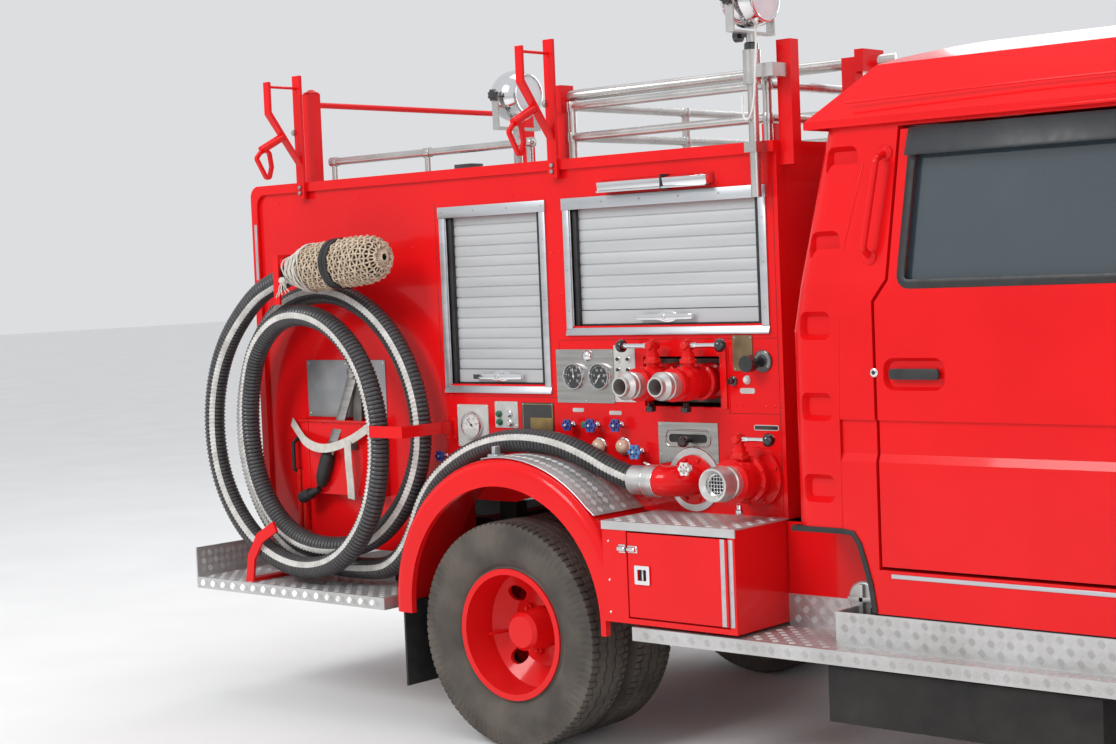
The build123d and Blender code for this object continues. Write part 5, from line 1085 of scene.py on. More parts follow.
def lobed_line(x, z, radius, lobes, deep):
    """A lobed wheel's outline."""
    line = []
    for angle in around(72):
        reach = radius - deep * (0.5 - 0.5 * math.cos(lobes * angle))
        line.append(Vector((x + reach * math.cos(angle), z + reach * math.sin(angle))))
    return line


# Columns: x, z, radius, how far it stands out, finish number
HAND_WHEELS = [(127, 1052, 21, 34, 2), (233, 1053, 24, 40, 2), (335, 1055, 23, 36, 2), (415, 972, 26, 40, 3),
               (-469, 930, 20, 34, 2)]
OUTLETS = [(515.0, 1195.0, -1), (655.0, 1195.0, 1)]
OUTLET_LEVER = (BODY_HALF + 59, 117.0, 128.0)
INLET = (865.0, 905.0)
INLET_LEVER = (BODY_HALF + 95, 125.0, 112.0)
KNOB_R = 19.5
# Columns: x, z, finish number, profile, sides, how far its foot stands before the body
PANEL_STUDS = [(197, 1054, 4, [(0, 9), (26, 9), (28, 11), (38, 11), (40, 8)], 16, 0),
               (608, 1009, 1, [(0, 6), (16, 6), (19, 13), (26, 17), (36, 18), (45, 15), (50, 8)], 28, 4),
               (783, 1199, 1, [(0, 15), (5, 15), (7, 9), (22, 9), (24, 7)], 20, 0),
               (872, 1255, 1, [(0, 13), (24, 13), (26, 17)], 24, 6),
               (836, 1203, 5, [(0, 12), (7, 12), (13, 8), (15, 4)], 20, 0),
               (836, 1203, 0, [(0, 14), (4, 14)], 20, 0)]


def hand_wheel(shape, x, z, radius, reach, number, base=BODY_HALF):
    """A spoked six-lobed hand wheel on its stem."""
    shape.number = number
    holes = [ring_line(x + 0.52 * radius * math.cos(t), z + 0.52 * radius * math.sin(t), 0.17 * radius, 10)
             for t in (math.radians(60 * k + 30) for k in range(6))]
    sheet(shape, lobed_line(x, z, radius, 6, radius * 0.22), holes, base + reach, 9)
    shape.stud(x, z, [(0, radius * 0.34), (11, radius * 0.34), (13, radius * 0.26)], 20, base + reach)
    shape.number = 0
    shape.stud(x, z, [(0, 5.5), (4, 5.5), (5, 4)], 6, base + reach + 12)
    shape.rod((x, -base, z), (x, -base - reach, z), 5.5, 12)
    shape.stud(x, z, [(0, 11), (9, 11), (11, 8), (16, 8)], 6, base)


def lever(shape, x, y, z, way, length):
    """A chromed lever rod with a black mushroom knob."""
    shape.number = 0
    shape.turn((x + way * 16, -y, z), (way, 0, 0), [(0, 9.5), (16, 9.5), (18, 7.5), (length - 34, 7.5),
                                                    (length - 33, 10), (length - 29, 10)], 20)
    shape.number = 1
    shape.turn((x + way * (length - 14), -y, z), (way, 0, 0),
               [(0, 12), (3, KNOB_R), (9, KNOB_R + 1.5), (17, KNOB_R + 0.5), (24, KNOB_R - 4), (29, 9)], 28)


def panel_switches(shape):
    """Two columns of black switches on their nuts and four buttons in two colours."""
    base = BODY_HALF + PANEL_T
    for x in (330, 372):
        for z in (1267, 1233, 1199, 1165):
            shape.number = 0
            shape.stud(x, z, [(0, 7), (3, 7), (4, 5)], 6, base)
            shape.number = 1
            shape.stud(x, z, [(0, 5.5), (8, 5.5), (10, 4)], 14, base + 3)
    for x, z, number in ((-207, 1080, 4), (-158, 1082, 0), (-205, 1053, 4), (-156, 1050, 0)):
        shape.number = number
        shape.stud(x, z, [(0, 11), (8, 11), (10, 8), (14, 8)], 16, base)


def panel_controls():
    """Levers, hand wheels, knobs and buttons on the pump panel."""
    shape = Shape()
    y, rise, length = OUTLET_LEVER
    for x, z, way in OUTLETS:
        lever(shape, x, y, z + rise, way, length)
    y, rise, length = INLET_LEVER
    lever(shape, INLET[0], y, INLET[1] + rise, 1, length)
    for row in HAND_WHEELS:
        hand_wheel(shape, *row)
    hand_wheel(shape, 668, 934, 23, 30, 5, base=BODY_HALF + 80)
    for x, z, number, profile, sides, reach in PANEL_STUDS:
        shape.number = number
        shape.stud(x, z, profile, sides, BODY_HALF + reach)
    shape.number = 1
    sheet(shape, lobed_line(872, 1255, 26, 24, 1.8), [], BODY_HALF + 30, 28)
    panel_switches(shape)
    shape.piece("panel_control_set", "truck", "handle_steel", [CHROME, KNOB, BLUE, LIGHT_BLUE, GREEN, WHITE],
                replaces=["valve_handles"], smooth=35, mirror=True)


def valve_neck(shape, x, z, arm, low, back, flange, tall):
    """A lever's pivot on a valve: boss, bolted neck and top bolt; arm is (y, rise, length) of the lever."""
    y, rise, _ = arm
    shape.stud(x, z + rise, [(0, 13), (back + 22, 13), (back + 25, 10)], 20, y - back)
    shape.turn((x, -y, z + low), (0, 0, 1), [(0, flange), (9, flange), (10, flange - 5), (tall, flange - 5)],
               24)
    for k in range(4):
        angle = math.radians(45 + 90 * k)
        reach = flange - 5
        bolt(shape, (x + reach * math.cos(angle), -y + reach * math.sin(angle), z + low + 9), (0, 0, 1), 5, 5)
    bolt(shape, (x, -y, z + rise + 14), (0, 0, 1), 9, 7)


def valve_bolts():
    """Flange bolts and lever pivots of the valves and the elbow."""
    shape = Shape()
    for x, z, _ in OUTLETS:
        bolt_circle(shape, x, z, BODY_HALF + 5, 49, 6, 7, 7)
        bolt_circle(shape, x, z, BODY_HALF + 111, 47, 6, 4.5, 5)
        valve_neck(shape, x, z, OUTLET_LEVER, 62, 24, 27, 20)
    x, z = INLET
    bolt_circle(shape, x, z, BODY_HALF + 16, 81, 8, 8, 8)
    bolt_circle(shape, x, z, BODY_HALF + 69, 67, 8, 6, 6)
    valve_neck(shape, x, z, INLET_LEVER, 64, 22, 28, 22)
    bolt_circle(shape, *SUCTION, BODY_HALF + 14, 66, 8, 7, 7)
    shape.piece("valve_bolt_set", "truck", "red_paint", [RED_METAL], smooth=35, bevel=0.6, mirror=True)


def valve_details():
    """Drain caps, the inlet's strainer and the elbow's rings."""
    shape = Shape()
    for x, z, _ in OUTLETS:
        shape.turn((x - 14, -OUTLET_LEVER[0], z - 62), (0, 0, -1),
                   [(0, 10), (12, 10), (13, 17), (27, 17), (29, 14)], 8)
    x, z = INLET
    shape.number = 1
    shape.turn((x - 4, -BODY_HALF - 100, z - 74), (0, 0, -1), [(0, 8), (14, 8), (16, 12), (28, 12), (30, 9)],
               14)
    face = BODY_HALF + 212
    shape.number = 2
    shape.stud(x, z, [(0, 32.5), (1, 32.5)], 32, face - 4)
    shape.number = 1
    for step in range(-2, 3):
        shift = 11 * step
        reach = math.sqrt(32.0 ** 2 - shift ** 2)
        shape.rod((x + shift, -face, z - reach), (x + shift, -face, z + reach), 1.5, 6)
        shape.rod((x - reach, -face, z + shift), (x + reach, -face, z + shift), 1.5, 6)
    shape.turn((x, -face, z), (0, -1, 0), [(-2, 33), (-2, 29), (2, 29), (2, 33)], 32, caps=False)
    elbow_y = BODY_HALF + 78
    for x in (542, 500):
        shape.turn((x, -elbow_y, SUCTION[1]), (-1, 0, 0), [(0, 51.5), (5, 51.5)], 40)
    shape.rod((505, -elbow_y, 936), (480, -elbow_y, 944), 4, 10)
    shape.piece("valve_small_parts", "truck", "coupling_alloy", [KNOB, CHROME, RUBBER], smooth=35, bevel=0.6,
                mirror=True)


# Columns: x, z; screws that hold the red side panels
PANEL_SCREWS = ([(x, 1815) for x in (-490, -380, -290, -200, -110, -20)]
                + [(-487, z) for z in (1755, 1610, 1440, 1300)]
                + [(x, z) for x in (56, 92) for z in (1755, 1620, 1480, 1390)]
                + [(56, z) for z in (1250, 1160)]
                + [(x, 1853) for x in (-1300, -1080, -860, -640)]
                + [(x, 1331) for x in (130, 330, 520, 720, 900)]
                + [(x, 1142) for x in (-440, -250, -40)]
                + [(-600, z) for z in (1700, 1660)]
                + [(950, z) for z in (1270, 1120, 870)]
                + [(x, 1122) for x in (790, 815, 905, 935)])
# Columns: x from, x to, z from, z to; thin gaps between the panels
PANEL_SEAMS = [(74, 76, 1143, 1329), (953, 955, 790, 1890), (-480, 60, 1138, 1139.6),
               (-481, -479, 1139.6, 1812), (78, 953, 1329, 1330.6), (420, 953, 1098, 1099.6),
               (418, 420, 1098, 1329)]


def side_panels():
    """Screws and thin gaps of the red side panels, and the raised frame round the outlets."""
    shape = Shape()
    for x, z in PANEL_SCREWS:
        screw(shape, x, z, BODY_HALF, 4.2)
    shape.number = 1
    for x0, x1, z0, z1 in PANEL_SEAMS:
        shape.box(x0, x1, -BODY_HALF - 0.4, -BODY_HALF + 1, z0, z1)
    shape.number = 0
    sheet(shape, rectangle(418, 768, 1098, 1318, 14), [rectangle(431, 733, 1116, 1275, 4)], BODY_HALF, 2)
    shape.box(744, 762, -BODY_HALF - 9, -BODY_HALF - 2, 1112, 1306)
    shape.number = 2
    shape.box(-1436, -1422, -BODY_HALF - 15.2, -BODY_HALF - 14, 1570, 1780)
    shape.piece("side_panel_details", "truck", "red_paint", [RED, SEAM, ALU], bevel=0.5, mirror=True)


# Inside the coil and on its holders

def coil_tools():
    """Wrench on the zinc plate, two flat bars, a rubber grip, a nozzle and a handle inside the coil."""
    shape = Shape()
    top = Vector((-918, -BODY_HALF - 14, 1219))
    shape.stud(top.x, top.z, [(0, 15), (16, 15), (18, 21), (28, 21), (31, 16)], 16, BODY_HALF + 3)
    shape.band([top, (-980, -BODY_HALF - 34, 1040), (-1020, -BODY_HALF - 60, 925)], 46, 8, (1, 0, 0))
    shape.number = 1
    shape.band([top + Vector((10, 9, 0)), (-906, -BODY_HALF - 14, 1050), (-902, -BODY_HALF - 52, 940)], 42, 8,
               (1, 0, 0))
    shape.number = 2
    shape.turn((-1018, -BODY_HALF - 62, 930), (-0.42, 0.0, -1.0),
               [(0, 16), (12, 25), (40, 28), (100, 27), (128, 20), (140, 14)], 20)
    shape.turn((-1080, -BODY_HALF - 64, 790), (-0.9, 0, -0.33),
               [(0, 12), (50, 13), (52, 22), (104, 22), (108, 17)], 14)
    shape.tube([(-1254, -BODY_HALF - 2, 972), (-1254, -BODY_HALF - 30, 952), (-1254, -BODY_HALF - 30, 856),
                (-1254, -BODY_HALF - 2, 836)], 8.0, 10)
    shape.piece("coil_tools", "truck", "cast_metal", [STEEL, CAST, RUBBER], bevel=1.5, smooth=35, mirror=True)


# Where the webbing lies across the coil and where its end hangs: x, distance from the body's side, z
WEBBING = [(-1285, 3, 1031), (-1210, 40, 1000), (-1110, 92, 962), (-1010, 96, 940), (-900, 78, 970),
           (-830, 62, 1008), (-770, 40, 1052)]
WEBBING_END = [(-893, 84, 972), (-888, 88, 900), (-892, 78, 820), (-904, 66, 762)]


def coil_webbing():
    """A pale webbing strap across the coil and its hanging end."""
    shape = Shape()
    for route, up in ((WEBBING, (0, 0.2, 1)), (WEBBING_END, (1, 0.1, 0))):
        line = [(x, -BODY_HALF - out, z) for x, out, z in route]
        shape.band(even(smooth_line(line), 14), 32, 2.4, up)
    shape.piece("coil_webbing", "truck", "wicker", [CLOTH], smooth=50, mirror=True)


def coil_fittings():
    """Folds and screws of the coil's tray, upright bars, a rail and the front clamp's screws."""
    shape = Shape()
    side = -BODY_HALF
    for x in (-1150, -813):
        shape.box(x - 2.5, x + 2.5, side - 47, side - 44, 774, 1040)
    shape.box(-1188, -768, side - 56, side - 44, 1040, 1046)
    for x in (-1160, -1065, -965, -865, -795):
        screw(shape, x, 1030, BODY_HALF + 44, 4.5)
    for x in (-1241, -1212):
        shape.box(x - 9, x + 9, side - 22, side - 8, 625, 853)
        for z in (640, 820):
            shape.box(x - 6, x + 6, side - 8, side, z, z + 20)
    shape.box(-1262, -1028, side - 34, side, 1502, 1518)
    for x in (-456, -424):
        for z in (1056, 995):
            screw(shape, x, z, BODY_HALF + 6, 4.5)
    shape.piece("coil_fittings", "truck", "red_paint", [RED_METAL], bevel=1.2, mirror=True)


def basket_strap():
    """Two turns of rubber strap round the strainer basket."""
    shape = Shape()
    middle = Vector((STRAINER_END[0] + 250, -HOSE_FRONT_Y, STRAINER_END[1] + 23))
    radius = basket_radius(248) + 4
    for shift in (-10, 11):
        ring = []
        for t in around(32) + [2 * math.pi]:
            rise = radius * math.sin(t)
            ring.append(middle + Vector((shift - 0.07 * rise, radius * math.cos(t), rise)))
        shape.band(ring, 19, 4, (1, 0, 0.07))
    shape.piece("basket_strap", "truck", "hose_rubber", [RUBBER], smooth=60, mirror=True)


# Step box, fender ledge and skirt

LOCKER_DOOR = (560.0, 935.0, 492.0, 752.0)
FENDER = (20.0, 450.0, 508.0)


def hinge(shape, x0, x1, x):
    """One leaf of the locker door's piano hinge with its screws at x."""
    _, _, z0, z1 = LOCKER_DOOR
    shape.box(x0, x1, -OUTER_HALF - 1.6, -OUTER_HALF, z0, z1)
    for i in range(6):
        screw(shape, x, z0 + 20 + i * (z1 - z0 - 40) / 5, OUTER_HALF + 1.6, 3.6)


def locker_fittings():
    """Recessed latch, hinge leaf and catch of each locker door, and their other halves on the box."""
    hinge_x = LOCKER_DOOR[1]
    shape = Shape()
    latch_hole = rectangle(600, 634, 607, 641, 3)
    sheet(shape, rectangle(588, 646, 595, 653, 4), [latch_hole], OUTER_HALF + 4.2, 2)
    shape.box(614, 620, -OUTER_HALF - 3, -OUTER_HALF, 607, 641)
    shape.number = 1
    sheet(shape, latch_hole, [], OUTER_HALF - 3.8, 0.5)
    shape.number = 2
    hinge(shape, hinge_x - 22, hinge_x - 2, hinge_x - 12)
    shape.number = 0
    shape.rod((566, -OUTER_HALF - 7, 701), (596, -OUTER_HALF - 7, 701), 8, 14)
    shape.box(562, 600, -OUTER_HALF - 3, -OUTER_HALF, 690, 712)
    shape.sides("locker_fittings", "locker", "handle_steel", [CHROME, RUBBER, ALU], bevel=0.7, smooth=35)
    shape = Shape()
    hinge(shape, hinge_x + 7, hinge_x + 24, hinge_x + 16)
    shape.number = 1
    shape.rod((528, -OUTER_HALF - 6, 701), (556, -OUTER_HALF - 6, 701), 9, 14)
    shape.box(526, 552, -OUTER_HALF - 3, -OUTER_HALF, 688, 714)
    for z in (721, 600, 500):
        screw(shape, 483, z, OUTER_HALF, 4)
    shape.piece("step_box_fittings", "truck", "handle_steel", [ALU, CHROME], bevel=0.7, smooth=35,
                mirror=True)


def fender_ledge():
    """Tread plate along the fender's top with a pale edge, and a small bracket under the hose."""
    x, z, radius = FENDER
    shape = Shape()
    line = [(x + (radius + 2) * math.cos(math.radians(a)), z + (radius + 2) * math.sin(math.radians(a)))
            for a in range(100, 43, -3)]
    line.append((line[-1][0] + 34, line[-1][1] - 26))
    near, far = Vector((0, -OUTER_HALF + 26, 0)), Vector((0, -BODY_HALF - 1, 0))
    for (xa, za), (xb, zb) in zip(line, line[1:]):
        a, b = Vector((xa, 0, za)), Vector((xb, 0, zb))
        along = b - a
        out = Vector((along.z, 0, -along.x)).normalized() * -2
        shape.slab([a + near, b + near, b + far, a + far], out)
        tread_lugs(shape, a + near + out, along.normalized(), (0, 1, 0), along.length,
                   OUTER_HALF - BODY_HALF - 30)
    shape.number = 1
    shape.tube([(a, -OUTER_HALF + 25, b + 2) for a, b in line], 2.4, 8)
    shape.piece("fender_ledge", "truck", "tread_plate", [TREAD, ALU], smooth=20, mirror=True)
    shape = Shape()
    shape.box(-74, -30, -OUTER_HALF + 60, -OUTER_HALF + 100, 952, 966)
    shape.box(-60, -44, -OUTER_HALF + 66, -OUTER_HALF + 94, 966, 992)
    shape.piece("fender_bracket", "truck", "stainless", [ALU], bevel=3, mirror=True)


# Cab

# Columns: x, z; corners of the door windows
REAR_WINDOW = [(1507, 1488), (1545, 1893), (2190, 1893), (2190, 1488)]
FRONT_WINDOW = [(2318, 1488), (2318, 1893), (3290, 1893), (3428, 1488)]
SCREEN_LOW, SCREEN_TOP = (745.0, 1390.0), (700.0, 1880.0)
BACK_WINDOW = (480.0, 1480.0, 1840.0)
HANDLES = {"rear": (1538.0, 1236.0), "front": (2410.0, 1236.0)}
LOCK_SHIFT = 126.0


def side_y(z):
    """Distance of the cab's side from the middle at a height."""
    return CAB_HALF - max(0, z - BELT_Z) * (CAB_HALF - CAB_TOP_HALF) / (DRIP_Z - BELT_Z)


def screen_x(z):
    """Where the windscreen's face lies at a height."""
    return 3740 - (z - 1350) * (3740 - 3470) / (1930 - 1350)


def seal_ring(shape, outline, wide, lift):
    """A closed rubber profile along a window's edge, square to the cab's side."""
    profile = [(-wide * 0.35, -2), (-wide * 0.35, lift), (wide * 0.1, lift + 1.5), (wide * 0.65, lift * 0.3),
               (wide * 0.65, -16), (0, -16)]
    line = rounded(outline, 26, 5)
    points = []
    for i, p in enumerate(line):
        ahead = (line[(i + 1) % len(line)] - line[i - 1]).normalized()
        inner = Vector((-ahead.y, ahead.x))
        for across, out in profile:
            q = p + inner * across
            points.append((q.x, -side_y(q.y) - out, q.y))
    shape.add(points, ring_faces(len(line), len(profile), caps=False, closed=True))


def door_trim():
    """Window seals, handle plates and lock barrels of the doors."""
    for end, window in (("rear", REAR_WINDOW), ("front", FRONT_WINDOW)):
        shape = Shape()
        seal_ring(shape, window, 26, 3)
        x, z = HANDLES[end]
        y = side_y(z)
        shape.prism(rectangle(x - 78, x + 78, z - 15, z + 15, 11), -y - 3, -y + 7)
        shape.number = 1
        shape.stud(x - LOCK_SHIFT, z + 4, [(-1, 13), (3, 13), (5, 10)], 20, y)
        shape.number = 0
        shape.stud(x - LOCK_SHIFT, z + 4, [(0, 6), (1, 6)], 12, y + 5)
        shape.sides(f"door_trim_{end}", f"cab_door_{end}", "cab_plastic", [PLASTIC, CHROME], bevel=0.8)


def window_visors():
    """Smoked wind deflectors along the top of every door window."""
    low, high = -side_y(1836), -side_y(1912)
    section = [(high - 0.5, 1912), (high - 4, 1913), (low - 24, 1846), (low - 26, 1836), (low - 22.5, 1836),
               (high - 0.5, 1904)]
    for end, x0, x1 in (("rear", 1526, 2190), ("front", 2318, 3290)):
        shape = Shape()
        shape.prism(section, x0, x1, "x")
        shape.sides(f"window_visor_{end}", f"cab_door_{end}", "cab_plastic", [SMOKE], bevel=1.0)


def back_x(z):
    """Where the cab's back lies at a height."""
    return 1116 + max(0, z - 1360) * (1232 - 1116) / (1930 - 1360)


def wiper(shape, y):
    """An arm and a blade on the windscreen from a foot at y."""
    foot = Vector((screen_x(1372) + 10, y, 1372))
    tip = Vector((screen_x(1500) + 16, y - 300, 1500))
    shape.tube([foot, foot.lerp(tip, 0.5) + Vector((6, 0, 0)), tip], 5, 8)
    a, b = tip + Vector((-4, -10, -120)), tip + Vector((-6, 60, 150))
    a.x, b.x = screen_x(a.z) + 8, screen_x(b.z) + 8
    shape.band([a, a.lerp(b, 0.5), b], 9, 12, (0, 1, 0))
    shape.turn(foot - Vector((14, 0, 4)), (1, 0, 0.2), [(0, 17), (14, 17), (20, 12)], 16)


def screen_seals():
    """Rubber round the windscreen and the back window, and the wipers."""
    shape = Shape()
    (low_half, low_z), (top_half, top_z) = SCREEN_LOW, SCREEN_TOP
    half, back_low, back_top = BACK_WINDOW
    for face, way, outline in (
            (screen_x, 1, [(-low_half, low_z), (low_half, low_z), (top_half, top_z), (-top_half, top_z)]),
            (back_x, -1, [(-half, back_low), (half, back_low), (half, back_top), (-half, back_top)])):
        line = rounded(outline, 60, 6)
        shape.tube([(face(z) + way, y, z) for y, z in line + line[:1]], 9, 10)
    for y in (-330, 360):
        wiper(shape, y)
    shape.piece("screen_rubber", "truck", "cab_plastic", [PLASTIC], smooth=50)


# Columns: x, z; the rear quarter's edge and the rubber under the cab's tail
QUARTER_EDGE = [(1290, 792), (1290, 1100), (1299, 1360), (1322, 1605), (1380, 1830)]
CAB_TAIL = [(1118, 788), (1290, 788), (1325, 784), (1346, 754), (1362, 704), (1380, 640), (1392, 562)]
FUEL_CAP = (1282.0, 576.0)


def cab_fittings():
    """Tail rubber, sill apron, quarter edge, trim strip, roof seam, grab handle feet and the fuel cap."""
    shape = Shape()
    shape.box(1396, 2330, -CAB_HALF + 8, -CAB_HALF + 14, 520, 568)
    shape.band([(x, -side_y(z) + 10, z) for x, z in CAB_TAIL], 30, 16, (0, 1, 0))
    shape.number = 1
    shape.tube([(x, -side_y(z) + 0.5, z) for x, z in QUARTER_EDGE], 2.6, 8)
    shape.tube([(1330, -side_y(1915) - 14, 1996), (1900, -side_y(1915) - 1, 2006),
                (3200, -side_y(1915) - 1, 2006)], 3, 8)
    shape.box(1242, 3440, -side_y(1930) - 22, -side_y(1930) - 16, 1930, 1938)
    shape.number = 2
    shape.box(1448, 2400, -CAB_HALF - 3, -CAB_HALF + 2, 664, 676)
    shape.box(2500, 3460, -CAB_HALF - 3, -CAB_HALF + 2, 846, 856)
    shape.number = 1
    for x, z in ((1452, 1850), (1404, 1562)):
        shape.stud(x, z, [(-2, 22), (5, 22), (8, 17), (12, 12)], 24, side_y(z))
    shape.number = 3
    x, z = FUEL_CAP
    shape.stud(x, z, [(-54, 34), (0, 34), (2, 52), (22, 52), (27, 46), (28, 20)], 36, BODY_HALF + 60)
    shape.box(x - 44, x + 44, -BODY_HALF - 100, -BODY_HALF - 84, z - 7, z + 7)
    shape.box(x - 7, x + 7, -BODY_HALF - 100, -BODY_HALF - 84, z - 44, z + 44)
    shape.piece("cab_fittings", "truck", "cab_plastic", [RUBBER, RED, ALU, ALU_CAST], bevel=0.8, mirror=True)


# The front panel stands upright to this height and leans back above it
PANEL_BEND_Z = 900.0
PANEL_LEAN = 40 / 450
# The mirror glass: x of its face, y and z of its middle, half its width and height
MIRROR = (3574.0, -985.0, 1470.0, 95.0, 170.0)


def head_lamps(shape):
    """Two round lamps in a dark field and the amber lamp under them."""
    for y, radius in ((-596, 78), (-740, 58)):
        shape.number = 0
        shape.turn((FRONT_X + 2, y, 790), (1, 0, 0), [(0, radius + 9), (16, radius + 9), (20, radius + 4),
                                                      (17, radius), (4, radius * 0.55)], 36)
        shape.number = 1
        shape.turn((FRONT_X + 14, y, 790), (1, 0, 0), [(0, radius), (4, radius * 0.92), (8, radius * 0.7),
                                                       (11, radius * 0.35), (12, 4)], 36)
    shape.number = 2
    shape.box(FRONT_X, FRONT_X + 9, -800, -500, 684, 894)
    shape.number = 3
    shape.box(FRONT_X, FRONT_X + 12, -790, -510, 656, 680)


def rear_lamps(shape):
    """Red, amber and clear lamps on dark bases at the truck's back."""
    for z0, z1, number in ((640, 740, 4), (750, 796, 3), (800, 850, 1)):
        shape.number = number
        shape.box(BACK - 24, BACK - 6, -635, -525, z0 + 3, z1 - 3)
        shape.number = 2
        shape.box(BACK - 8, BACK, -640, -520, z0, z1)


def work_lamp(shape):
    """The long lamp over the front shutter: bright housing and lip, dark underside and clasp."""
    side = -BODY_HALF
    shape.number = 0
    shape.prism([(side, 1812), (side - 42, 1806), (side - 46, 1836), (side, 1846)], 300, 738, "x")
    shape.box(300, 738, side - 49, side - 44, 1803, 1809)
    shape.number = 2
    shape.prism([(side - 1, 1809), (side - 40, 1803), (side - 40, 1806), (side - 1, 1811.5)], 306, 732, "x")
    shape.box(560, 566, side - 49, side - 2, 1800, 1848)


def lamps():
    """Headlamps, turn lamps, rear lamps and the work lamps over the shutters."""
    shape = Shape()
    head_lamps(shape)
    rear_lamps(shape)
    work_lamp(shape)
    shape.piece("lamp_set", "truck", "lamp_lens", [CHROME, LENS_CLEAR, PLASTIC, LENS_AMBER, LENS_RED],
                replaces=["lamps"], bevel=1.5, mirror=True)


def bumper_insert():
    """Ribbed insert in the bumper's slot, its tray, fog lamps beside it and the front panel's seam."""
    shape = Shape()
    shape.box(3862, 3866, -298, 298, 452, 518)
    for i in range(4):
        z = 462 + 15 * i
        shape.box(3866, 3877, -298, 298, z - 2, z + 2)
    for i in range(9):
        y = 66 * (i - 4)
        shape.box(3866, 3874, y - 2, y + 2, 452, 518)
    shape.box(3660, 3862, -340, 340, 500, 504)
    for y in (-430, 430):
        shape.number = 1
        shape.turn((3880, y, 510), (1, 0, 0), [(-1, 56), (3, 56), (5, 50), (3, 46)], 32, caps=False)
        shape.number = 2
        shape.turn((3880, y, 510), (1, 0, 0), [(-1, 50), (1, 48), (4, 30), (5, 3)], 32)
    shape.number = 3
    seam_z = 920
    seam_x = FRONT_X - (seam_z - PANEL_BEND_Z) * PANEL_LEAN
    shape.box(seam_x - 4, seam_x + 0.5, -640, 640, seam_z, seam_z + 2)
    shape.piece("bumper_insert", "truck", "cab_plastic", [PLASTIC, CHROME, LENS_CLEAR, SEAM], bevel=0.6)


def mirror_glass():
    """Glass and rubber edge of the door mirrors, and the clamps on their arms."""
    shape = Shape()
    x, y, z, half_wide, half_high = MIRROR
    for number, inset, thick in ((0, 0, 1.2), (1, 9, 2.2)):
        shape.number = number
        wide, high = half_wide - inset, half_high - inset
        outline = rectangle(y - wide, y + wide, z - high, z + high, 40 - inset)
        shape.prism(outline, x - thick, x, "x")
    shape.number = 0
    for z in (1180, 1640):
        shape.turn((3600, -1010, z - 20), (0, 0, 1), [(0, 17), (40, 17)], 20)
        shape.box(3586, 3614, -1010 + 9, -1010 + 30, z - 15, z + 15)
    shape.piece("mirror_glass", "truck", "cab_plastic", [PLASTIC, CHROME], bevel=1.0, mirror=True)


BACK_SHUTTER = (-480.0, 480.0, 870.0, 1793.0)


def back_shutter():
    """A roller shutter on the back wall in its frame, with its bar handle and two grab rails."""
    shape = Shape()
    y0, y1, z0, z1 = BACK_SHUTTER
    wide = SHUTTER_FRAME
    shape.number = 0
    shape.box(BACK - 10, BACK, y0, y1, z1 - wide, z1)
    shape.box(BACK - 12, BACK, y0, y1, z0, z0 + 22)
    for a, b in ((y0, y0 + wide), (y1 - wide, y1)):
        shape.box(BACK - 10, BACK, a, b, z0 + 22.3, z1 - wide - 0.3)
    shape.number = 1
    low, high = z0 + 78, z1 - wide - 1
    count = round((high - low) / SLAT_PITCH)
    pitch = (high - low) / count
    outline = [(BACK, low), (BACK, high)]
    for i in range(count, 0, -1):
        z = low + i * pitch
        outline += [(BACK - 2, z - 0.6), (BACK - 4.6, z - 3), (BACK - 5.6, z - pitch / 2),
                    (BACK - 4.6, z - pitch + 3), (BACK - 2, z - pitch + 0.6)]
    shape.prism(outline, y0 + wide + 10, y1 - wide - 10)
    shape.box(BACK - 7, BACK, y0 + wide + 10, y1 - wide - 10, z0 + 24, low - 1)
    shape.number = 2
    for a, b in ((y0 + wide, y0 + wide + 9.7), (y1 - wide - 9.7, y1 - wide)):
        shape.box(BACK - 4, BACK, a, b, z0 + 22.3, z1 - wide - 0.3)
    shape.number = 3
    shape.tube([(BACK - 18, y, z0 + 50) for y in (-110, -60, 0, 60, 110)], 7, 12)
    for y in (-95, 95):
        shape.rod((BACK - 18, y, z0 + 50), (BACK - 5, y, z0 + 50), 6, 12)
    for y in (-560, 560):
        rail = [(BACK - 1, y, 1080), (BACK - 20, y, 1080), (BACK - 20, y, 1620), (BACK - 1, y, 1620)]
        shape.tube(smooth_line(rail, 10), 9, 12)
        for z in (1080, 1620):
            shape.turn((BACK, y, z), (-1, 0, 0), [(0, 22), (4, 22), (6, 18)], 24)
    shape.piece("back_shutter", "truck", "shutter_aluminium", [ALU, SLAT, RUBBER, CHROME], bevel=0.8,
                smooth=35)


BEACON = (2900.0, 2305.0, 560.0)
# Columns: distance from the bar's middle line along x and z; half of the lens's section and of its base
LENS_FORM = [(111, -26), (112, 0), (104, 34), (82, 58), (50, 63)]
BASE_FORM = [(60, -64), (92, -60), (110, -46), (113, -30)]


def bar_slice(shape, form, y0, y1, grow=0.0):
    """A length of the lamp bar between two places across the truck."""
    x, z, _ = BEACON
    half = [(x + a + grow, z + b + (grow if b > 0 else -grow)) for a, b in form]
    shape.prism(half + [(2 * x - a, b) for a, b in half[::-1]], y0, y1)


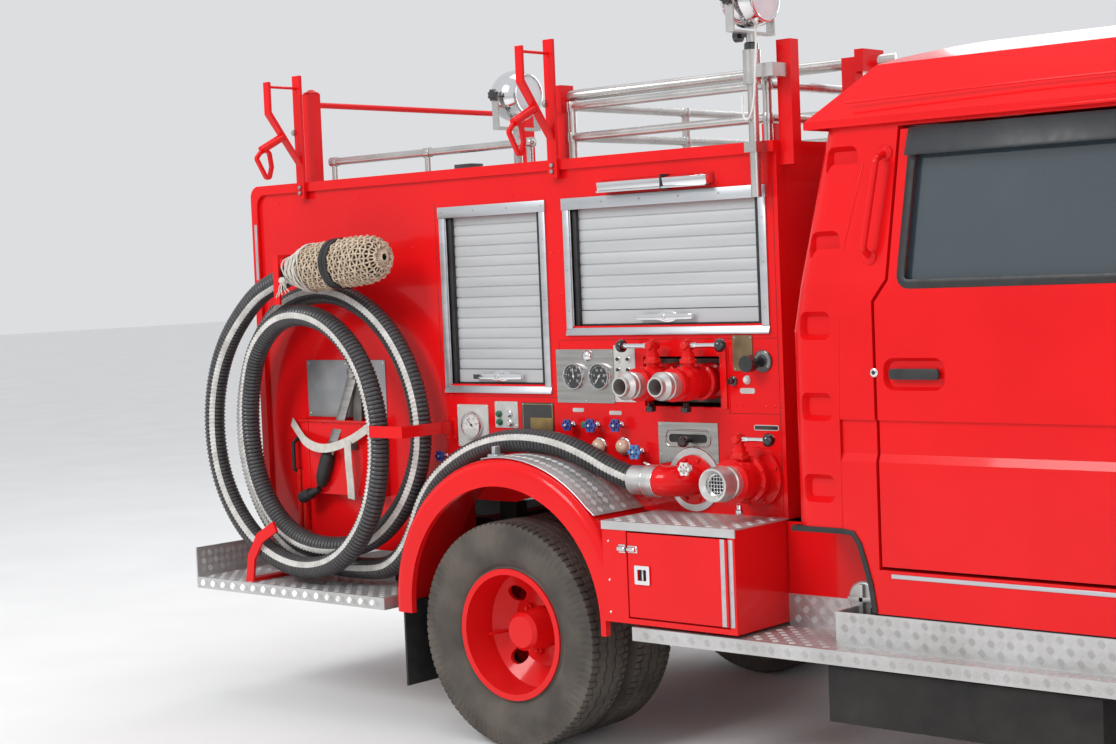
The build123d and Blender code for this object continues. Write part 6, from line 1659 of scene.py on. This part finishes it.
def warning_lamps():
    """The lamp bar on the cab roof: red lenses each side of a speaker grille on an alloy base."""
    shape = Shape()
    x, z, half = BEACON
    shape.number = 1
    bar_slice(shape, BASE_FORM, -half, half)
    for y in (-380, 380):
        shape.box(x - 60, x + 60, y - 40, y + 40, 2168, 2246)
    for y0, y1 in ((-half, -132), (132, half)):
        shape.number = 0
        bar_slice(shape, LENS_FORM, y0, y1)
        shape.number = 1
        for y in (y0 - 1.5, (y0 + y1) / 2 - 2, y1 - 3.5):
            bar_slice(shape, LENS_FORM, y, y + 5, 1.5)
    shape.number = 2
    bar_slice(shape, LENS_FORM, -130, 130, -6)
    shape.number = 1
    for i in range(9):
        y = 28 * (i - 4)
        shape.box(x + 98, x + 110, y - 8, y + 8, z - 24, z + 26)
    shape.piece("warning_lamps", "truck", "beacon_lens", [LENS_RED, ALU, PLASTIC], replaces=["beacon_bar"],
                bevel=2.0, smooth=40)


# Roof gear

DECK_TOP = 1904.0
SEARCH_AT = (-400.0, -300.0, 2190.0)
FLOOD_AT = (925.0, -BODY_HALF - 43, 2345.0)
RAIL_LOW = (-1060.0, -70.0, -BODY_HALF + 63, 1995.0)
GUARD = (132.0, 915.0, BODY_HALF - 45, (1995.0, 2096.0))
POST_X = (-1165.0, 77.0)
POST_Y = 594.0


def lamp_head(name, body, centre, radius, cut):
    """Rim, lens, back cap and pivots of a round lamp that is cut off in front of its middle."""
    x, y, z = centre
    mouth = math.sqrt(radius ** 2 - cut ** 2)
    shape = Shape()
    shape.turn((x + cut, y, z), (1, 0, 0), [(-8, mouth + 2), (-3, mouth + 5), (3, mouth + 5), (5, mouth + 1),
                                            (3, mouth - 4), (-3, mouth - 5)], 48, caps=False)
    shape.number = 1
    shape.turn((x + cut, y, z), (1, 0, 0), [(-3, mouth - 3), (1, mouth - 4), (4, mouth * 0.6), (5, 3)], 48)
    shape.number = 2
    shape.turn((x - radius + 5, y, z), (-1, 0, 0), [(-8, 22), (2, 22), (4, 16)], 24)
    for side in (-1, 1):
        shape.turn((x, y + side * (radius + 6), z), (0, side, 0), [(-4, 9), (0, 9)], 16)
    shape.piece(name, body, "chrome_lamp", [CHROME, LENS_CLEAR, PLASTIC])


def star_knobs(shape, centre, radius, lift, near, far):
    """Star knobs on both sides of a lamp's yoke, between two distances from its middle."""
    x, y, z = centre
    star = [(x + (radius + lift * (k % 2)) * math.cos(t), z + (radius + lift * (k % 2)) * math.sin(t))
            for k, t in enumerate(around(16))]
    for side in (-1, 1):
        shape.prism(star, y + side * near, y + side * far)


def roof_lamps():
    """The searchlight's and the floodlight's heads and knobs, and a black box on the deck."""
    lamp_head("search_lens", "search_head", SEARCH_AT, 92, 60)
    lamp_head("flood_lens", "flood_head", FLOOD_AT, 88, 55)
    shape = Shape()
    star_knobs(shape, SEARCH_AT, 18, 5, 113, 126)
    star_knobs(shape, FLOOD_AT, 20, 6, 107, 122)
    shape.box(-440, -360, -BODY_HALF + 66, -BODY_HALF + 130, DECK_TOP, DECK_TOP + 40)
    shape.piece("lamp_knobs", "truck", "cab_plastic", [KNOB], bevel=1.5)


def rail_fittings():
    """Flanged feet, collars and caps of the roof rails."""
    shape = Shape()
    x0, x1, y, z = RAIL_LOW
    for side in (1, -1):
        for x in (x0 + 8, (x0 + x1) / 2, x1 - 8):
            shape.turn((x, y * side, DECK_TOP), (0, 0, 1), [(0, 30), (6, 30), (8, 17), (20, 15)], 24)
            for k in range(4):
                angle = math.radians(45 + 90 * k)
                bolt(shape, (x + 22 * math.cos(angle), y * side + 22 * math.sin(angle), DECK_TOP + 6),
                     (0, 0, 1), 4, 4)
            shape.turn((x - 17, y * side, z), (1, 0, 0), [(0, 17.5), (34, 17.5)], 24)
        for x in (x0, x1):
            shape.ball((x, y * side, z), 14.2, 20, 10)
    gx0, gx1, gy, heights = GUARD
    for x in (gx0, gx1):
        for y in (-gy, gy, 0):
            shape.turn((x, y, DECK_TOP), (0, 0, 1), [(0, 28), (6, 28), (8, 18), (22, 17)], 24)
            for z in heights:
                shape.turn((x, y, z - 16), (0, 0, 1), [(0, 17), (32, 17)], 24)
    shape.piece("rail_fittings", "truck", "stainless", [STAINLESS], bevel=0.6)


def post_fittings():
    """Bolted feet of the four posts, the tall one's cap and the ladder locks."""
    shape = Shape()
    for x in POST_X:
        for y in (-POST_Y, POST_Y):
            shape.number = 0
            shape.box(x - 38, x + 38, y - 34, y + 34, DECK_TOP, DECK_TOP + 8)
            shape.number = 1
            for dx in (-30, 30):
                for dy in (-27, 27):
                    bolt(shape, (x + dx, y + dy, DECK_TOP + 8), (0, 0, 1), 6, 6)
    shape.number = 0
    shape.turn((POST_X[0], -POST_Y, 2254), (0, 0, 1), [(0, 30), (5, 30), (8, 20), (16, 9)], 24)
    shape.number = 1
    for x in (-1148, 98):
        shape.turn((x, -BODY_HALF - 26, 2108), (-1, 0, 0), [(12, 12), (24, 12), (28, 8)], 16)
        for z in (1885, 1905):
            shape.stud(x, z, [(0, 8), (7, 8), (9, 6)], 6, BODY_HALF + 26)
    shape.piece("post_fittings", "truck", "red_paint", [RED_METAL, STEEL], bevel=0.8, smooth=35)


def mast_fittings():
    """Collar, clamp knob and pale cable of the floodlight's mast."""
    shape = Shape()
    x, y, _ = FLOOD_AT
    shape.turn((x, y, 2194), (0, 0, 1), [(0, 22), (18, 22), (23, 17)], 24)
    shape.turn((x - 10, y, 2240), (-1, 0, 0), [(0, 7), (26, 7), (27, 19), (45, 19), (48, 14)], 16)
    shape.number = 1
    line = [(x + 30, y - 20, 2262), (x + 44, y - 34, 2220), (x + 40, y - 40, 2120), (x + 30, y - 38, 2030),
            (x + 6, y - 34, 1980), (x - 28, y - 20, 1996), (x - 34, y - 6, 2060)]
    shape.tube(smooth_line(line, 10), 3.5, 8)
    shape.piece("mast_fittings", "truck", "stainless", [KNOB, WHITE])


def camera():
    """The photograph's viewpoint."""
    yaw, pitch, roll = 0.7245, 0.0522, -0.0411
    ahead = Vector((-math.sin(yaw) * math.cos(pitch), math.cos(yaw) * math.cos(pitch), -math.sin(pitch)))
    level = Vector((math.cos(yaw), math.sin(yaw), 0))
    rise = level.cross(ahead)
    right = level * math.cos(roll) + rise * math.sin(roll)
    up = rise * math.cos(roll) - level * math.sin(roll)
    eye = bpy.data.cameras.new("photo_camera")
    eye.sensor_fit = "HORIZONTAL"
    eye.sensor_width = SENSOR_MM
    eye.lens = FOCAL_PX / PHOTO_W * SENSOR_MM
    eye.clip_end = 200
    holder = bpy.data.objects.new("photo_camera", eye)
    turn = Matrix((right, up, -ahead)).transposed().to_4x4()
    holder.matrix_world = Matrix.Translation(Vector((3.2023, -5.5138, 1.5628))) @ turn
    bpy.context.scene.collection.objects.link(holder)
    bpy.context.scene.camera = holder


def area_lamp(name, where, target, size, power):
    """A square soft lamp that looks at a point."""
    lamp = bpy.data.lights.new(name, "AREA")
    lamp.size = size
    lamp.energy = power
    holder = bpy.data.objects.new(name, lamp)
    holder.location = where
    holder.rotation_euler = (Vector(target) - Vector(where)).to_track_quat("-Z", "Y").to_euler()
    bpy.context.scene.collection.objects.link(holder)


def studio():
    """Pale floor, soft lamps and a pale background."""
    bpy.context.scene.view_settings.view_transform = "Standard"
    world = bpy.data.worlds.new("studio")
    world.use_nodes = True
    nodes, links = world.node_tree.nodes, world.node_tree.links
    back = nodes["Background"]
    back.inputs["Color"].default_value = (0.88, 0.89, 0.92, 1)
    back.inputs["Strength"].default_value = 0.86
    seen = nodes.new("ShaderNodeBackground")
    seen.inputs["Color"].default_value = (0.72, 0.73, 0.75, 1)
    rays = nodes.new("ShaderNodeLightPath")
    either = nodes.new("ShaderNodeMath")
    either.operation = "MAXIMUM"
    links.new(rays.outputs["Is Camera Ray"], either.inputs[0])
    links.new(rays.outputs["Is Transmission Ray"], either.inputs[1])
    mix = nodes.new("ShaderNodeMixShader")
    links.new(either.outputs[0], mix.inputs["Fac"])
    links.new(back.outputs[0], mix.inputs[1])
    links.new(seen.outputs[0], mix.inputs[2])
    links.new(mix.outputs[0], nodes["World Output"].inputs["Surface"])
    bpy.context.scene.world = world
    area_lamp("key", (-2.5, -8.0, 6.5), (0.0, 0.0, 1.0), 3.2, 390)
    area_lamp("fill", (6.5, -5.0, 4.0), (0.6, 0.0, 1.0), 5.0, 80)
    area_lamp("top", (0.0, 1.5, 8.0), (0.0, 0.0, 1.0), 6.0, 170)
    area_lamp("far", (-2.0, 8.0, 4.5), (0.0, 0.0, 1.0), 5.0, 170)
    mesh = bpy.data.meshes.new("floor")
    reach = 60.0
    mesh.from_pydata([(-reach, -reach, 0), (reach, -reach, 0), (reach, reach, 0), (-reach, reach, 0)], [],
                     [(0, 1, 2, 3)])
    mesh.materials.append(finish_of("pale_floor", (0.84, 0.84, 0.83), (0.81, 0.81, 0.80), (0.7, 0.85), 1.5,
                                    specular=0.2))
    floor = bpy.data.objects.new("floor", mesh)
    bpy.context.scene.collection.objects.link(floor)


dress_nodes()
camera()
studio()
ribbed_hose()
woven_basket()
basket_net()
tyres()
wheel_nuts()
lug_fields()
shutters()
plates()
dial_set()
panel_controls()
valve_bolts()
valve_details()
side_panels()
coil_tools()
coil_webbing()
coil_fittings()
basket_strap()
locker_fittings()
fender_ledge()
door_trim()
screen_seals()
cab_fittings()
lamps()
bumper_insert()
mirror_glass()
back_shutter()
window_visors()
warning_lamps()
roof_lamps()
rail_fittings()
post_fittings()
mast_fittings()
